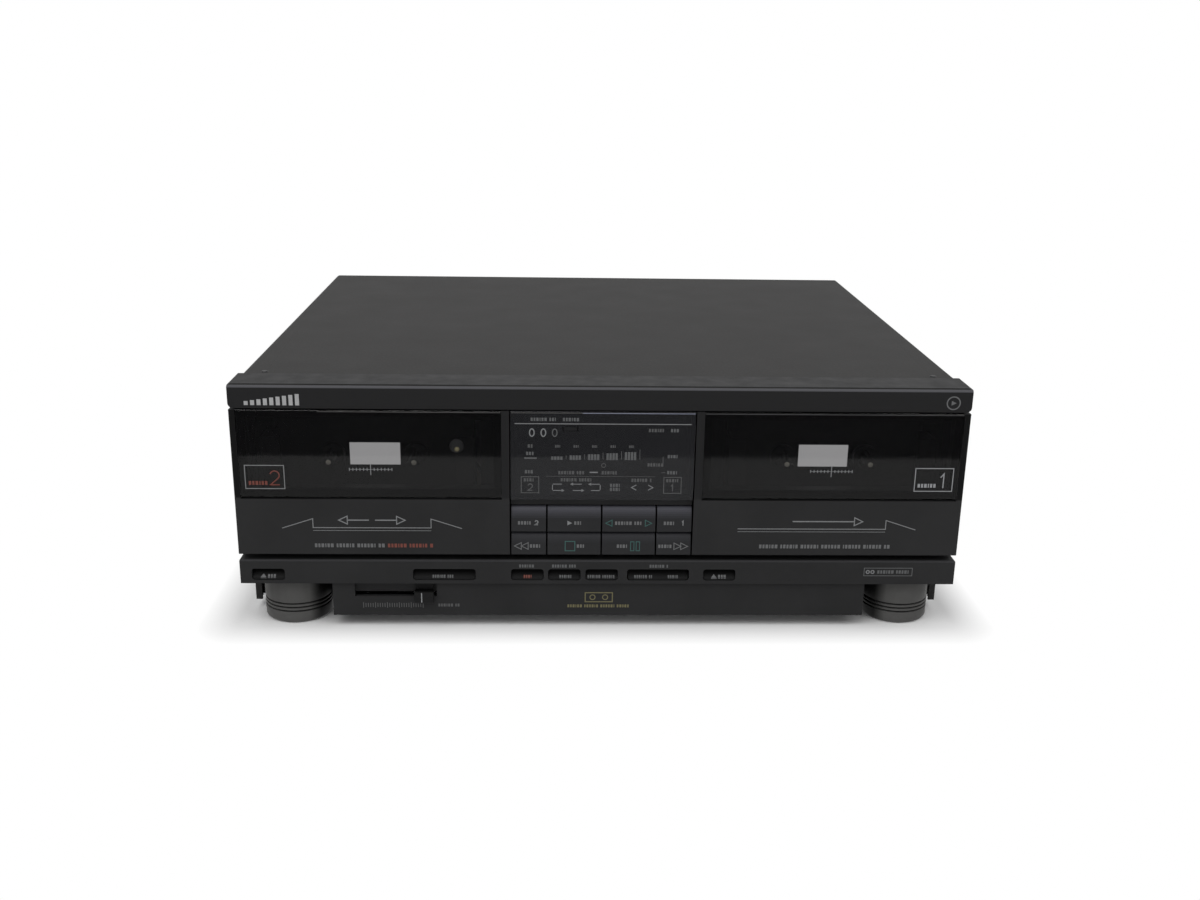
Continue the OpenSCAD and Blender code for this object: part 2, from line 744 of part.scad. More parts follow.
// Display tube on its board, behind the window
module display_board() {
    inset = display_wall + 0.3;
    y1 = well_y + well_t;
    color([0.1, 0.16, 0.14])
    difference() {
        union() {
            // The board lies against the back of the well plate
            box([-display_w / 2 + inset, y1, display_z0 + inset],
                [display_w / 2 - inset, y1 + board_t, door_top - inset]);
            box([-display_w / 2 + inset + 4, y1 - glass_t, display_z0 + inset + 3],
                [display_w / 2 - inset - 4, y1 + eps, door_top - inset - 3]);
        }
        box([reset_x - reset_w / 2 - 0.6, y1 - glass_t - 1, reset_z - 0.6],
            [reset_x + reset_w / 2 + 0.6, y1, reset_z + reset_h + 0.6]);
    }
}

// Small button through the display window
module counter_reset_button() {
    cap = front_y + 0.3;
    shoulder = front_y + window_t + 0.3;
    color([0.08, 0.08, 0.08]) {
        translate([reset_x, 0, reset_z]) {
            box([-reset_w / 2 + slide_clear, cap, slide_clear],
                [reset_w / 2 - slide_clear, well_y + well_t - press_travel - 0.3, reset_h - slide_clear]);
            box([-reset_w / 2 - 1, shoulder, -1], [reset_w / 2 + 1, shoulder + 1, reset_h + 1]);
        }
    }
}

key_face_y = front_y + 0.3;
key_body_d = well_y - press_travel - 0.4;

// A key with a face that leans back towards its top, and its stem
module key(column, row) {
    z0 = row == 1 ? key_row_z : key_z0;
    h = row == 1 ? key_upper_h : key_lower_h;
    curve_h = h * 0.62;
    x = column[0];
    w = column[1];
    n = 10;
    face = [for (i = [0:n]) let (a = 90 * i / n)
        [key_face_y + key_lean * (1 - cos(a)), z0 + h - curve_h + curve_h * sin(a)]];
    color([0.16, 0.16, 0.18]) {
        along_x(x, x + w) polygon(concat(
            [[key_body_d, z0], [key_face_y + 0.3, z0], [key_face_y, z0 + 0.3]],
            face, [[key_body_d, z0 + h]]));
        box([x + w / 2 - stem_w / 2, key_body_d - eps, z0 + h / 2 - stem_h / 2],
            [x + w / 2 + stem_w / 2, stem_end, z0 + h / 2 + stem_h / 2]);
    }
}

module key_deck_b() { key(key_columns[0], 1); }
module key_play() { key(key_columns[1], 1); }
module key_direction() { key(key_columns[2], 1); }
module key_deck_a() { key(key_columns[3], 1); }
module key_rewind() { key(key_columns[0], 0); }
module key_stop() { key(key_columns[1], 0); }
module key_pause() { key(key_columns[2], 0); }
module key_forward() { key(key_columns[3], 0); }

// Buttons of the strip

button_face_y = 0.5;
hollow_d = 3.2;
hollow_bow = 0.35;
button_lip = 1.2;
button_back = button_face_y + hollow_d + 1;
shoulder_y = wall_t + 0.3;
shoulder_t = 1.2;
shoulder_w = 0.8;
button_stem_w = 6;
button_stem_h = 3;

// Hollow for a fingertip over the lip of a button
module finger_hollow(x0, x1, z0, z1) {
    n = 8;
    lip_z = z0 + button_lip;
    along_x(x0, x1) polygon(concat(
        [[button_face_y - 1, z1 + 1], [button_face_y - 1, lip_z]],
        [for (i = [0:n]) let (t = i / n)
            [button_face_y + hollow_d * t * (1 + hollow_bow * (1 - t)), lip_z + (z1 - lip_z) * t]],
        [[button_face_y + hollow_d, z1 + 1]]));
}

// Hollowed cap with a shoulder behind the wall and a stem
module button(pocket) {
    x0 = pocket[0] + slide_clear;
    x1 = pocket[0] + pocket[1] - slide_clear;
    z0 = button_z + slide_clear;
    z1 = button_z + button_h - slide_clear;
    mid = (x0 + x1) / 2;
    mid_z = (z0 + z1) / 2;
    color([0.07, 0.07, 0.07]) {
        difference() {
            union() {
                along_y(button_face_y, button_back)
                    round_rect([x0, z0], [x1, z1], button_round - slide_clear);
                box([x0 - shoulder_w, shoulder_y, z0 - shoulder_w / 2],
                    [x1 + shoulder_w, shoulder_y + shoulder_t, z1 - button_round]);
            }
            finger_hollow(x0, x1, z0, z1);
        }
        box([mid - button_stem_w / 2, button_back - eps, mid_z - button_stem_h / 2],
            [mid + button_stem_w / 2, stem_end, mid_z + button_stem_h / 2]);
    }
}

module eject_button_b() { button(pockets[0]); }
module noise_button() { button(pockets[1]); }
module record_button() { button(pockets[2]); }
module mode_button() { button(pockets[3]); }
module synchro_button() { button(pockets[4]); }
module eject_button_a() { button(pockets[6]); }

rocker_axis_y = button_back + 1.8;
rocker_pin_d = 2;

// Rocker with a press point at each end, on a pin behind the strip
module dubbing_rocker() {
    p = pockets[5];
    tilt_clear = 0.6;
    x0 = p[0] + tilt_clear;
    x1 = p[0] + p[1] - tilt_clear;
    z0 = button_z + slide_clear;
    z1 = button_z + button_h - slide_clear;
    mid = (x0 + x1) / 2;
    color([0.07, 0.07, 0.07])
    difference() {
        union() {
            difference() {
                along_y(button_face_y, button_back)
                    round_rect([x0, z0], [x1, z1], button_round - slide_clear);
                finger_hollow(x0, x1, z0, z1);
            }
            box([mid - 4, button_back - eps, z0 + 0.8], [mid + 4, rocker_axis_y + 2.4, z1 - 0.8]);
        }
        translate([mid, rocker_axis_y, z0 - 1])
            cylinder(d = rocker_pin_d + 2 * pin_clear, h = button_h + 2);
    }
}

// Level slider

knob_x = slot_x0 + slot_l - knob_w - 1.5;
knob_z0 = slot_z0 - 2.8;
knob_z1 = slot_z0 + slot_h - 3.3;
neck_w = 4;
neck_z1 = slot_z0 + slide_clear + 1.2;

// Thumb piece that hangs over the lower edge of the slot, on a flat neck
module level_slider_knob() {
    cap_back = plinth_y - slide_clear;
    block_back = plinth_y + wall_t - slide_clear;
    plate_t = 1;
    lip = 0.6;
    color([0.07, 0.07, 0.07]) {
        along_x(knob_x, knob_x + knob_w) polygon([[knob_y + lip, knob_z0], [knob_y, knob_z0 + lip],
            [knob_y, knob_z1 - lip], [knob_y + lip, knob_z1], [cap_back, knob_z1], [cap_back, knob_z0]]);
        box([knob_x + slide_clear, cap_back - eps, slot_z0 + slide_clear],
            [knob_x + knob_w - slide_clear, block_back, knob_z1]);
        // Plate that closes the slot over the block
        box([knob_x + slide_clear, block_back - plate_t, knob_z1 - eps],
            [knob_x + knob_w - slide_clear, block_back, slot_z0 + slot_h - slide_clear]);
        box([knob_x + knob_w / 2 - neck_w / 2, block_back - eps, slot_z0 + slide_clear],
            [knob_x + knob_w / 2 + neck_w / 2, track_y + 2, neck_z1]);
    }
}

// Electronics

board_y = well_y + well_t + 5;
switch_d = 2;
stem_end = board_y - switch_d - press_travel - 0.2;
board_low_z = strip_z + 2;
board_high_z = button_z + button_h;
track_y = board_y - 4;

// Switch body and plunger in front of the control board
module board_switch(x, z) {
    box([x - 3, board_y - switch_d, z - 2], [x + 3, board_y + eps, z + 2]);
}

// Upright board with the switches, the slider's track and the rocker's pin
module control_board() {
    margin = 5;
    key_x = key_half_w - 1;
    rocker_mid = pockets[5][0] + pockets[5][1] / 2;
    mid_z = button_z + button_h / 2;
    color([0.16, 0.3, 0.2]) {
        box([-side_x + wall_t + 1, board_y, board_low_z],
            [eject_a_x + button_w + margin, board_y + board_t, board_high_z]);
        box([-key_x, board_y, board_high_z - eps], [key_x, board_y + board_t, key_top - 1]);
        box([slot_x0 - margin, board_y, slot_z0 - 2],
            [slot_x0 + slot_l + margin, board_y + board_t, board_low_z + eps]);
        for (c = key_columns, z = key_middles)
            board_switch(c[0] + c[1] / 2, z);
        for (i = [0, 1, 2, 3, 4, 6]) board_switch(pockets[i][0] + pockets[i][1] / 2, mid_z);
        // Track of the slider, open towards the front
        difference() {
            box([slot_x0 - margin + 1, track_y, slot_z0 - 1.5],
                [slot_x0 + slot_l + margin - 1, board_y + eps, slot_z0 + slot_h - 1]);
            box([slot_x0 - 1, track_y - 1, slot_z0],
                [slot_x0 + slot_l + 1, track_y + 3, neck_z1 + slide_clear]);
        }
        // Bracket and pin of the rocker
        for (z = [mid_z - button_h / 2 - 1.1, mid_z + button_h / 2 - 0.1])
            box([rocker_mid - 3, rocker_axis_y - 1.8, z], [rocker_mid + 3, board_y + eps, z + 1]);
        translate([rocker_mid, rocker_axis_y, mid_z - button_h / 2 - 1])
            cylinder(d = rocker_pin_d, h = button_h + 1.5);
    }
}

main_x0 = -40;
main_side_room = 14;
main_front_room = 100;
main_back_room = 12;
main_rise = 8;
main_x1 = side_x - main_side_room;
main_y0 = panel_d + main_front_room;
main_y1 = rear_y - main_back_room;
main_z = under_gap + sheet_t + main_rise;
post_room = 8;
cap_d = 16;
cap_h = 26;
sink_x = main_x0 + 36;
sink_h = 30;
chip_w = 7;
chip_l = 22;
chip_h = 3.5;

// Main board on four posts, with its capacitors, chips and heat sink
module main_board() {
    post_d = 6;
    fin_t = 2;
    fin_pitch = 6;
    top = main_z + board_t;
    color([0.16, 0.3, 0.2]) {
        box([main_x0, main_y0, main_z], [main_x1, main_y1, top]);
        for (x = [main_x0 + post_room, main_x1 - post_room], y = [main_y0 + post_room, main_y1 - post_room])
            translate([x, y, under_gap + sheet_t])
                cylinder(d = post_d, h = main_rise + eps);
        for (i = [0:1])
            translate([main_x0 + 18, main_y1 - 30 - i * (cap_d + 4), top - eps])
                cylinder(d = cap_d, h = cap_h);
        for (i = [0:3])
            translate([main_x0 + 55 + i * 28, main_y0 + 30, top - eps]) cube([chip_w, chip_l, chip_h]);
        for (i = [0:4])
            box([sink_x + i * fin_pitch, main_y1 - 60, top - eps],
                [sink_x + i * fin_pitch + fin_t, main_y1 - 20, top + sink_h]);
        box([sink_x, main_y1 - 41, top - eps],
            [sink_x + 4 * fin_pitch + fin_t, main_y1 - 39, top + sink_h]);
    }
}

transformer_inset = 62;
transformer_back = 62;
transformer_x = -side_x + transformer_inset;
transformer_y = rear_y - transformer_back;
transformer_tab = 10;
core_w = 57;
core_d = 24;
core_h = 48;
coil_w = 36;
coil_d = 44;

// Mains transformer: laminated core, wound bobbin and mounting feet
module power_transformer() {
    z0 = under_gap + sheet_t;
    foot_t = 1.5;
    color([0.35, 0.34, 0.33])
    difference() {
        translate([transformer_x, transformer_y, z0]) {
            box([-core_w / 2, -core_d / 2, 0], [core_w / 2, core_d / 2, core_h]);
            box([-coil_w / 2, -coil_d / 2, 8], [coil_w / 2, coil_d / 2, core_h - 8]);
            box([-core_w / 2 - transformer_tab, -core_d / 2, 0],
                [core_w / 2 + transformer_tab, core_d / 2, foot_t]);
        }
        for (s = [-1, 1])
            translate([transformer_x + s * (core_w + transformer_tab) / 2, transformer_y, z0 - 1])
                cylinder(d = 4, h = 5);
    }
}

// Four phono sockets on one plate
module phono_sockets() {
    plate_margin = 7;
    plate = phono_pitch + 2 * plate_margin;
    hole_d = 3.4;
    y0 = rear_y + sheet_t;
    color([0.1, 0.1, 0.1])
    difference() {
        union() {
            along_y(y0, y0 + 2) translate([phono_x, phono_z])
                round_rect([-plate / 2, -plate / 2], [plate / 2, plate / 2], 2);
            for (p = phono_places) rod_y(p[0], p[1], rear_y - 8, y0 + 2 + phono_l, phono_d / 2);
        }
        for (p = phono_places) rod_y(p[0], p[1], y0, y0 + 3 + phono_l, hole_d / 2);
    }
}

// Two-pin mains inlet
module mains_inlet() {
    y0 = rear_y + sheet_t;
    depth = 14;
    rim = 3;
    lobe_r = 4.2;
    lobe_x = 4.3;
    pin_d = 2.4;
    color([0.06, 0.06, 0.06]) {
        difference() {
            union() {
                along_y(y0 - depth, y0 + eps) translate([inlet_x, inlet_z])
                    round_rect([-inlet_w / 2, -inlet_h / 2], [inlet_w / 2, inlet_h / 2], 1.4);
                along_y(y0, y0 + 2) translate([inlet_x, inlet_z])
                    round_rect([-inlet_w / 2 - rim, -inlet_h / 2 - rim],
                        [inlet_w / 2 + rim, inlet_h / 2 + rim], 2);
            }
            for (s = [-1, 1]) rod_y(inlet_x + s * lobe_x, inlet_z, y0 - depth + 2, y0 + 3, lobe_r);
            box([inlet_x - lobe_x, y0 - depth + 2, inlet_z - 3.4],
                [inlet_x + lobe_x, y0 + 3, inlet_z + 3.4]);
        }
        for (s = [-1, 1]) rod_y(inlet_x + s * lobe_x, inlet_z, y0 - depth + 1, y0 - 2, pin_d / 2);
    }
}

// Cassette transports

reflector_w = 25.5;
reflector_h = 11.6;
reflector_t = 0.6;

// White plates between the spindles
module reflectors() {
    color([0.8, 0.79, 0.78])
    for (s = [-1, 1]) on_side(s)
        box([deck_x - reflector_w / 2, transport_y - reflector_t, spindle_z - reflector_h / 2],
            [deck_x + reflector_w / 2, transport_y, spindle_z + reflector_h / 2]);
}

reel_gap = 0.3;
disc_r = 15.5;
disc_w = 2.6;
disc_y = frame_back + 0.8;
bush_r = 4;
bush_l = disc_w + 1.6;
wheel_y = frame_back + bush_l + 0.6;
wheel_back = wheel_y + flywheel_w;
bracket_y = wheel_back + 3;
bracket_t = 1.5;
axle_d = 3;
frame_half_w = 50;
frame_z0 = strip_z + 1.4;
motor_rise = 10;
motor_z = spindle_z + motor_rise;
frame_z1 = motor_z + motor_d / 2 + 1.5;
post_inset = 6;
post_r = 2.5;
bridge_post_x = 14;
bridge_post_z = floor_z - 6;
bridge_post_r = 2;
bridge_t = 1.5;
bridge_y = transport_y - reel_gap - bridge_t;
bridge_z0 = bridge_post_z - bridge_lift - 4.5;
bridge_z1 = bridge_post_z + 4.6;
foot_half_w = 32;
foot_flange = 14;
post_head_r = 3.6;
post_head_t = 1;
post_head_y = bridge_y - reel_gap;

// Front plate, bearings, spacers and motor bracket of one transport
module transport_frame(capstans) {
    posts = [for (s = [-1, 1], z = [frame_z0 + post_inset, frame_z1 - post_inset])
        [s * (frame_half_w - post_inset), z]];
    translate([deck_x, 0, 0])
    difference() {
        union() {
            box([-frame_half_w, transport_y, frame_z0], [frame_half_w, frame_back, frame_z1]);
            for (x = capstans) rod_y(x, capstan_z, frame_back - eps, frame_back + bush_l, bush_r);
            for (p = posts) rod_y(p[0], p[1], frame_back - eps, bracket_y + eps, post_r);
            box([-frame_half_w, bracket_y, frame_z0], [frame_half_w, bracket_y + bracket_t, frame_z1]);
            // Foot that stands on the base tray
            box([-foot_half_w, bracket_y, under_gap + sheet_t],
                [foot_half_w, bracket_y + bracket_t, frame_z0 + eps]);
            box([-foot_half_w, bracket_y, under_gap + sheet_t],
                [foot_half_w, bracket_y + foot_flange, under_gap + 2 * sheet_t]);
            // Guide posts of the head bridge
            for (s = [-1, 1]) {
                rod_y(s * bridge_post_x, bridge_post_z,
                    post_head_y - post_head_t, transport_y + eps, bridge_post_r);
                rod_y(s * bridge_post_x, bridge_post_z,
                    post_head_y - post_head_t, post_head_y, post_head_r);
            }
        }
        for (x = capstans)
            rod_y(x, capstan_z, transport_y - 1, bracket_y + bracket_t + 1, capstan_d / 2 + pin_clear);
        for (s = [-1, 1])
            rod_y(s * spindle_pitch / 2, spindle_z, transport_y - 1, frame_back + 1,
                axle_d / 2 + pin_clear);
        rod_y(motor_offset(capstans), motor_z, bracket_y - 1, bracket_y + bracket_t + 1, 4);
    }
}

// The motor stands over the second of two capstans, or beside a single one
function motor_offset(capstans) = len(capstans) == 2 ? 36 : -10;

capstans_b = [-capstan_x, capstan_x];
capstans_a = [capstan_x];

module transport_frame_b() { color([0.16, 0.16, 0.17]) on_side(-1) transport_frame(capstans_b); }
module transport_frame_a() { color([0.16, 0.16, 0.17]) on_side(1) transport_frame(capstans_a); }

spindle_tip_y = 15;
hub_r = 6.4;
shaft_r = 2.6;
fin_r = 4.4;

// Reel spindle: hub and finned drive on an axle, with its friction disc behind the frame
module spindle(x) {
    hub_y = transport_y - reel_gap;
    fins = 3;
    cone_l = 1.5;
    cone_r = 1.2;
    color([0.09, 0.09, 0.09])
    translate([x, 0, spindle_z]) {
        rod_y(0, 0, hub_y - 4.4, hub_y, hub_r);
        rod_y(0, 0, spindle_tip_y + cone_l, hub_y - 4, shaft_r);
        translate([0, spindle_tip_y + cone_l + eps, 0]) rotate([90, 0, 0])
            cylinder(r1 = shaft_r, r2 = cone_r, h = cone_l);
        for (i = [0:fins - 1]) rotate([0, i * 360 / fins, 0])
            box([-0.7, spindle_tip_y + 2.5, 0], [0.7, hub_y - 4, fin_r]);
        rod_y(0, 0, hub_y - eps, disc_y + eps, axle_d / 2);
        rod_y(0, 0, disc_y, disc_y + disc_w, disc_r);
    }
}

module left_spindle_b() { spindle(-deck_x - spindle_pitch / 2); }
module right_spindle_b() { spindle(-deck_x + spindle_pitch / 2); }
module left_spindle_a() { spindle(deck_x - spindle_pitch / 2); }
module right_spindle_a() { spindle(deck_x + spindle_pitch / 2); }

// Flywheel with a crowned rim, pressed on its capstan
module flywheel(x) {
    r = flywheel_d / 2;
    web = 3;
    capstan_front = pocket_front + 5.2;
    color([0.72, 0.68, 0.55])
    translate([x, 0, capstan_z]) {
        difference() {
            rod_y(0, 0, wheel_y, wheel_back, r);
            difference() {
                rod_y(0, 0, wheel_y + web, wheel_back + 1, r - 4);
                rod_y(0, 0, wheel_y + web - 1, wheel_back + 2, 6);
            }
        }
        rod_y(0, 0, capstan_front, bracket_y + bracket_t, capstan_d / 2);
    }
}

module left_flywheel_b() { flywheel(-deck_x - capstan_x); }
module right_flywheel_b() { flywheel(-deck_x + capstan_x); }
module flywheel_a() { flywheel(deck_x + capstan_x); }

motor_l = 25;
motor_shaft_d = 2;
motor_x_b = -deck_x - motor_offset(capstans_b);
motor_x_a = deck_x + motor_offset(capstans_a);

// Capstan motor behind the bracket
module capstan_motor(x) {
    y0 = bracket_y + bracket_t;
    color([0.55, 0.56, 0.58])
    translate([x, 0, motor_z]) {
        rod_y(0, 0, y0, y0 + motor_l, motor_d / 2);
        rod_y(0, 0, y0 - 2, y0 + eps, 3.6);
        rod_y(0, 0, y0 + motor_l - eps, y0 + motor_l + 2, 5);
        rod_y(0, 0, wheel_y, y0, motor_shaft_d / 2);
    }
}

module capstan_motor_b() { capstan_motor(motor_x_b); }
module capstan_motor_a() { capstan_motor(motor_x_a); }

// Flanged pulley on the motor's shaft
module motor_pulley(x) {
    r = pulley_d / 2;
    flange = 1.4;
    flange_t = 1;
    color([0.75, 0.7, 0.5])
    translate([x, 0, motor_z]) difference() {
        union() {
            rod_y(0, 0, wheel_y, wheel_back, r);
            rod_y(0, 0, wheel_y, wheel_y + flange_t, r + flange);
            rod_y(0, 0, wheel_back - flange_t, wheel_back, r + flange);
        }
        rod_y(0, 0, wheel_y - 1, wheel_back + 1, motor_shaft_d / 2 + pin_clear);
    }
}

module motor_pulley_b() { motor_pulley(motor_x_b); }
module motor_pulley_a() { motor_pulley(motor_x_a); }

belt_gap = 0.25;

// A belt's path round pulleys: each pulley is [x, z, r, turn], with turn 1 for
// anticlockwise and -1 for clockwise as seen in the XZ plane
function leave_angle(p, q) =
    let (d = [q[0] - p[0], q[1] - p[1]], a = atan2(d.y, d.x),
         s = acos((p[2] - p[3] * q[3] * q[2]) / norm(d)))
    a - p[3] * s;
function tangent_in(p, q) = leave_angle(p, q) + (p[3] * q[3] > 0 ? 0 : 180);
function turn_span(a, b, turn) =
    let (d = turn > 0 ? b - a : a - b) d - 360 * floor(d / 360);
function belt_path(wheels, offset) =
    let (n = len(wheels))
    [for (i = [0:n - 1])
        let (p = wheels[i], before = wheels[(i + n - 1) % n], after = wheels[(i + 1) % n],
             r = p[2] + p[3] * offset,
             a0 = tangent_in(before, p), a1 = leave_angle(p, after),
             span = turn_span(a0, a1, p[3]), steps = max(2, ceil(span / 7.5)))
        for (k = [0:steps])
            let (a = a0 + p[3] * span * k / steps)
            [p[0] + r * cos(a), p[1] + r * sin(a)]];

// Flat belt; its inner face runs on the anticlockwise wheels, its outer face on the others
module drive_belt(wheels) {
    grown = [for (w = wheels) [w[0], w[1], w[2] + belt_gap + belt_t / 2, w[3]]];
    color([0.05, 0.05, 0.05])
    along_y(wheel_y + 1.5, wheel_back - 1.5) difference() {
        polygon(belt_path(grown, belt_t / 2));
        polygon(belt_path(grown, -belt_t / 2));
    }
}

module drive_belt_b() {
    drive_belt([[motor_x_b, motor_z, pulley_d / 2, 1],
        [-deck_x - capstan_x, capstan_z, flywheel_d / 2, -1],
        [-deck_x + capstan_x, capstan_z, flywheel_d / 2, 1]]);
}

module drive_belt_a() {
    drive_belt([[motor_x_a, motor_z, pulley_d / 2, 1],
        [deck_x + capstan_x, capstan_z, flywheel_d / 2, 1]]);
}

pinch_r = pinch_d / 2;
pinch_w = 6.4;
pinch_y = pocket_front + 5.2;
pinch_gap = 0.4;
pinch_z = capstan_z - capstan_d / 2 - pinch_r - bridge_lift - pinch_gap;
pinch_pin_d = 2;
head_w = 13;
head_h = 12;
head_d = 10;
head_y = well_y + well_t + 0.8;
head_z1 = floor_z - 2;
head_z0 = head_z1 - head_h;

// Sliding plate that carries the head and the pinch rollers up to the tape
module head_bridge(rollers) {
    slot_w = bridge_post_r + slide_clear;
    translate([deck_x, 0, 0])
    difference() {
        union() {
            box([-capstan_x - 6, bridge_y, bridge_z0], [capstan_x + 6, bridge_y + bridge_t, bridge_z1]);
            // Shelf under the head
            box([-head_w / 2, head_y + head_d, head_z0], [head_w / 2, bridge_y + eps, head_z0 + 2]);
            box([-head_w / 2, head_y, head_z0 - 1.5], [head_w / 2, bridge_y + eps, head_z0]);
            for (x = rollers) rod_y(x, pinch_z, pinch_y - 1.2, bridge_y + eps, pinch_pin_d / 2);
            for (x = rollers) rod_y(x, pinch_z, pinch_y + pinch_w + 0.4, bridge_y + eps, 3);
        }
        for (s = [-1, 1]) {
            rod_y(s * bridge_post_x, bridge_post_z, bridge_y - 1, bridge_y + bridge_t + 1, slot_w);
            rod_y(s * bridge_post_x, bridge_post_z - bridge_lift,
                bridge_y - 1, bridge_y + bridge_t + 1, slot_w);
            box([s * bridge_post_x - slot_w, bridge_y - 1, bridge_post_z - bridge_lift],
                [s * bridge_post_x + slot_w, bridge_y + bridge_t + 1, bridge_post_z]);
        }
    }
}

module head_bridge_b() { color([0.6, 0.61, 0.62]) on_side(-1) head_bridge(capstans_b); }
module head_bridge_a() { color([0.6, 0.61, 0.62]) on_side(1) head_bridge(capstans_a); }

// Tape head: screened can with a domed face towards the tape
module tape_head() {
    dome_r = 14;
    translate([deck_x, 0, 0])
    intersection() {
        box([-head_w / 2, head_y, head_z0], [head_w / 2, head_y + head_d, head_z1]);
        rod_y(0, head_z1 - dome_r, head_y - 1, head_y + head_d + 1, dome_r);
    }
}

module tape_head_b() { color([0.75, 0.76, 0.78]) on_side(-1) tape_head(); }
module tape_head_a() { color([0.75, 0.76, 0.78]) on_side(1) tape_head(); }

// Rubber pinch roller on its pin
module pinch_roller(x) {
    color([0.08, 0.08, 0.08])
    difference() {
        rod_y(x, pinch_z, pinch_y, pinch_y + pinch_w, pinch_r);
        rod_y(x, pinch_z, pinch_y - 1, pinch_y + pinch_w + 1, pinch_pin_d / 2 + pin_clear);
    }
}

module left_pinch_roller_b() { pinch_roller(-deck_x - capstan_x); }
module right_pinch_roller_b() { pinch_roller(-deck_x + capstan_x); }
module pinch_roller_a() { pinch_roller(deck_x + capstan_x); }

// Each node by name

placed() front_panel();
placed() top_cover();
placed() chassis_base();
placed() rear_panel();
placed() feet();
placed() case_screws();
placed() door_b();
placed() door_a();
placed() door_window_b();
placed() door_window_a();
placed() cassette_holder_b();
placed() cassette_holder_a();
placed() hinge_pins();
placed() display_window();
placed() display_board();
placed() key_deck_b();
placed() key_play();
placed() key_direction();
placed() key_deck_a();
placed() key_rewind();
placed() key_stop();
placed() key_pause();
placed() key_forward();
placed() eject_button_b();
placed() noise_button();
placed() record_button();
placed() mode_button();
placed() synchro_button();
placed() dubbing_rocker();
placed() eject_button_a();
placed() counter_reset_button();
placed() level_slider_knob();
placed() control_board();
placed() main_board();
placed() power_transformer();
placed() phono_sockets();
placed() mains_inlet();
placed() reflectors();
placed() transport_frame_b();
placed() left_spindle_b();
placed() right_spindle_b();
placed() left_flywheel_b();
placed() right_flywheel_b();
placed() capstan_motor_b();
placed() motor_pulley_b();
placed() drive_belt_b();
placed() head_bridge_b();
placed() tape_head_b();
placed() left_pinch_roller_b();
placed() right_pinch_roller_b();
placed() transport_frame_a();
placed() left_spindle_a();
placed() right_spindle_a();
placed() flywheel_a();
placed() capstan_motor_a();
placed() motor_pulley_a();
placed() drive_belt_a();
placed() head_bridge_a();
placed() tape_head_a();
placed() pinch_roller_a();
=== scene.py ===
"""Looks of a double cassette deck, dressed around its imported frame.

Lengths are in millimetres from the middle of the cabinet's front face at shelf level:
X to the right, Y to the back and Z up. at() turns them into the frame's metres.
"""
import json
from math import ceil, cos, hypot, pi, radians, sin, tau

import bmesh
import bpy
from mathutils import Matrix, Vector
from mathutils.bvhtree import BVHTree

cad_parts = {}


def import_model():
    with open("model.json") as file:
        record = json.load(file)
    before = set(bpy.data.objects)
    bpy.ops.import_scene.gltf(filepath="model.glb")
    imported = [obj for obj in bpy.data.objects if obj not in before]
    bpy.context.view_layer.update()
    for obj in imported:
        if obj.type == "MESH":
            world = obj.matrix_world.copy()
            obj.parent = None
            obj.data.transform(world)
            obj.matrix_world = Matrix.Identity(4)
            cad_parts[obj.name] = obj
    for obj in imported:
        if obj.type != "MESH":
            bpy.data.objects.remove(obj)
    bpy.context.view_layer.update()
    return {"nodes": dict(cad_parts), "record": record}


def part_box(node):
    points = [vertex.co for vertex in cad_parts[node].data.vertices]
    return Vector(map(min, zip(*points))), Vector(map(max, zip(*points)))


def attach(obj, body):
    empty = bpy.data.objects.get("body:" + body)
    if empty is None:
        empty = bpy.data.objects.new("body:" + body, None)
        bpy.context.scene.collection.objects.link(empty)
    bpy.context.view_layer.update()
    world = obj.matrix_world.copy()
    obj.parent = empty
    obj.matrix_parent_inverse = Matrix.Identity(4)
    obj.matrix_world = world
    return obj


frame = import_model()

MM = 0.001
FRONT_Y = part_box("front_panel")[0].y


def at(x, y, z):
    """A place in millimetres, in the frame's metres."""
    return Vector((x * MM, FRONT_Y + y * MM, z * MM))


def box_mm(node):
    """Lowest and highest corner of a node, in millimetres."""
    return [Vector((c.x / MM, (c.y - FRONT_Y) / MM, c.z / MM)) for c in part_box(node)]


# Materials

# Distance between the stripes of a wave texture at scale 1
WAVE_PITCH = pi / 10


class Nodes:
    """The nodes of a material or a world."""

    def __init__(self, owner):
        owner.use_nodes = True
        self.tree = owner.node_tree

    def feed(self, socket, value):
        """Links a socket into an input, or writes a plain value there."""
        if isinstance(value, bpy.types.NodeSocket):
            self.tree.links.new(value, socket)
        elif isinstance(value, (tuple, list)) and socket.type == "RGBA":
            socket.default_value = (*value, 1.0)
        else:
            socket.default_value = value

    def node(self, kind, inputs=None, **settings):
        """A new node of a kind, with its settings made and its inputs fed."""
        made = self.tree.nodes.new("ShaderNode" + kind)
        for key, value in settings.items():
            setattr(made, key, value)
        for key, value in (inputs or {}).items():
            self.feed(made.inputs[key], value)
        return made

    def chain(self, operation, *values):
        """Some values, joined one after the other by a math operation."""
        result = values[0]
        for value in values[1:]:
            result = self.node("Math", {0: result, 1: value}, operation=operation).outputs[0]
        return result

    def surface(self, factor, first, second):
        """Shows two shaders, mixed by a factor."""
        mix = self.node("MixShader", {0: factor, 1: first.outputs[0], 2: second.outputs[0]})
        self.feed(self.tree.get_output_node("ALL").inputs["Surface"], mix.outputs[0])


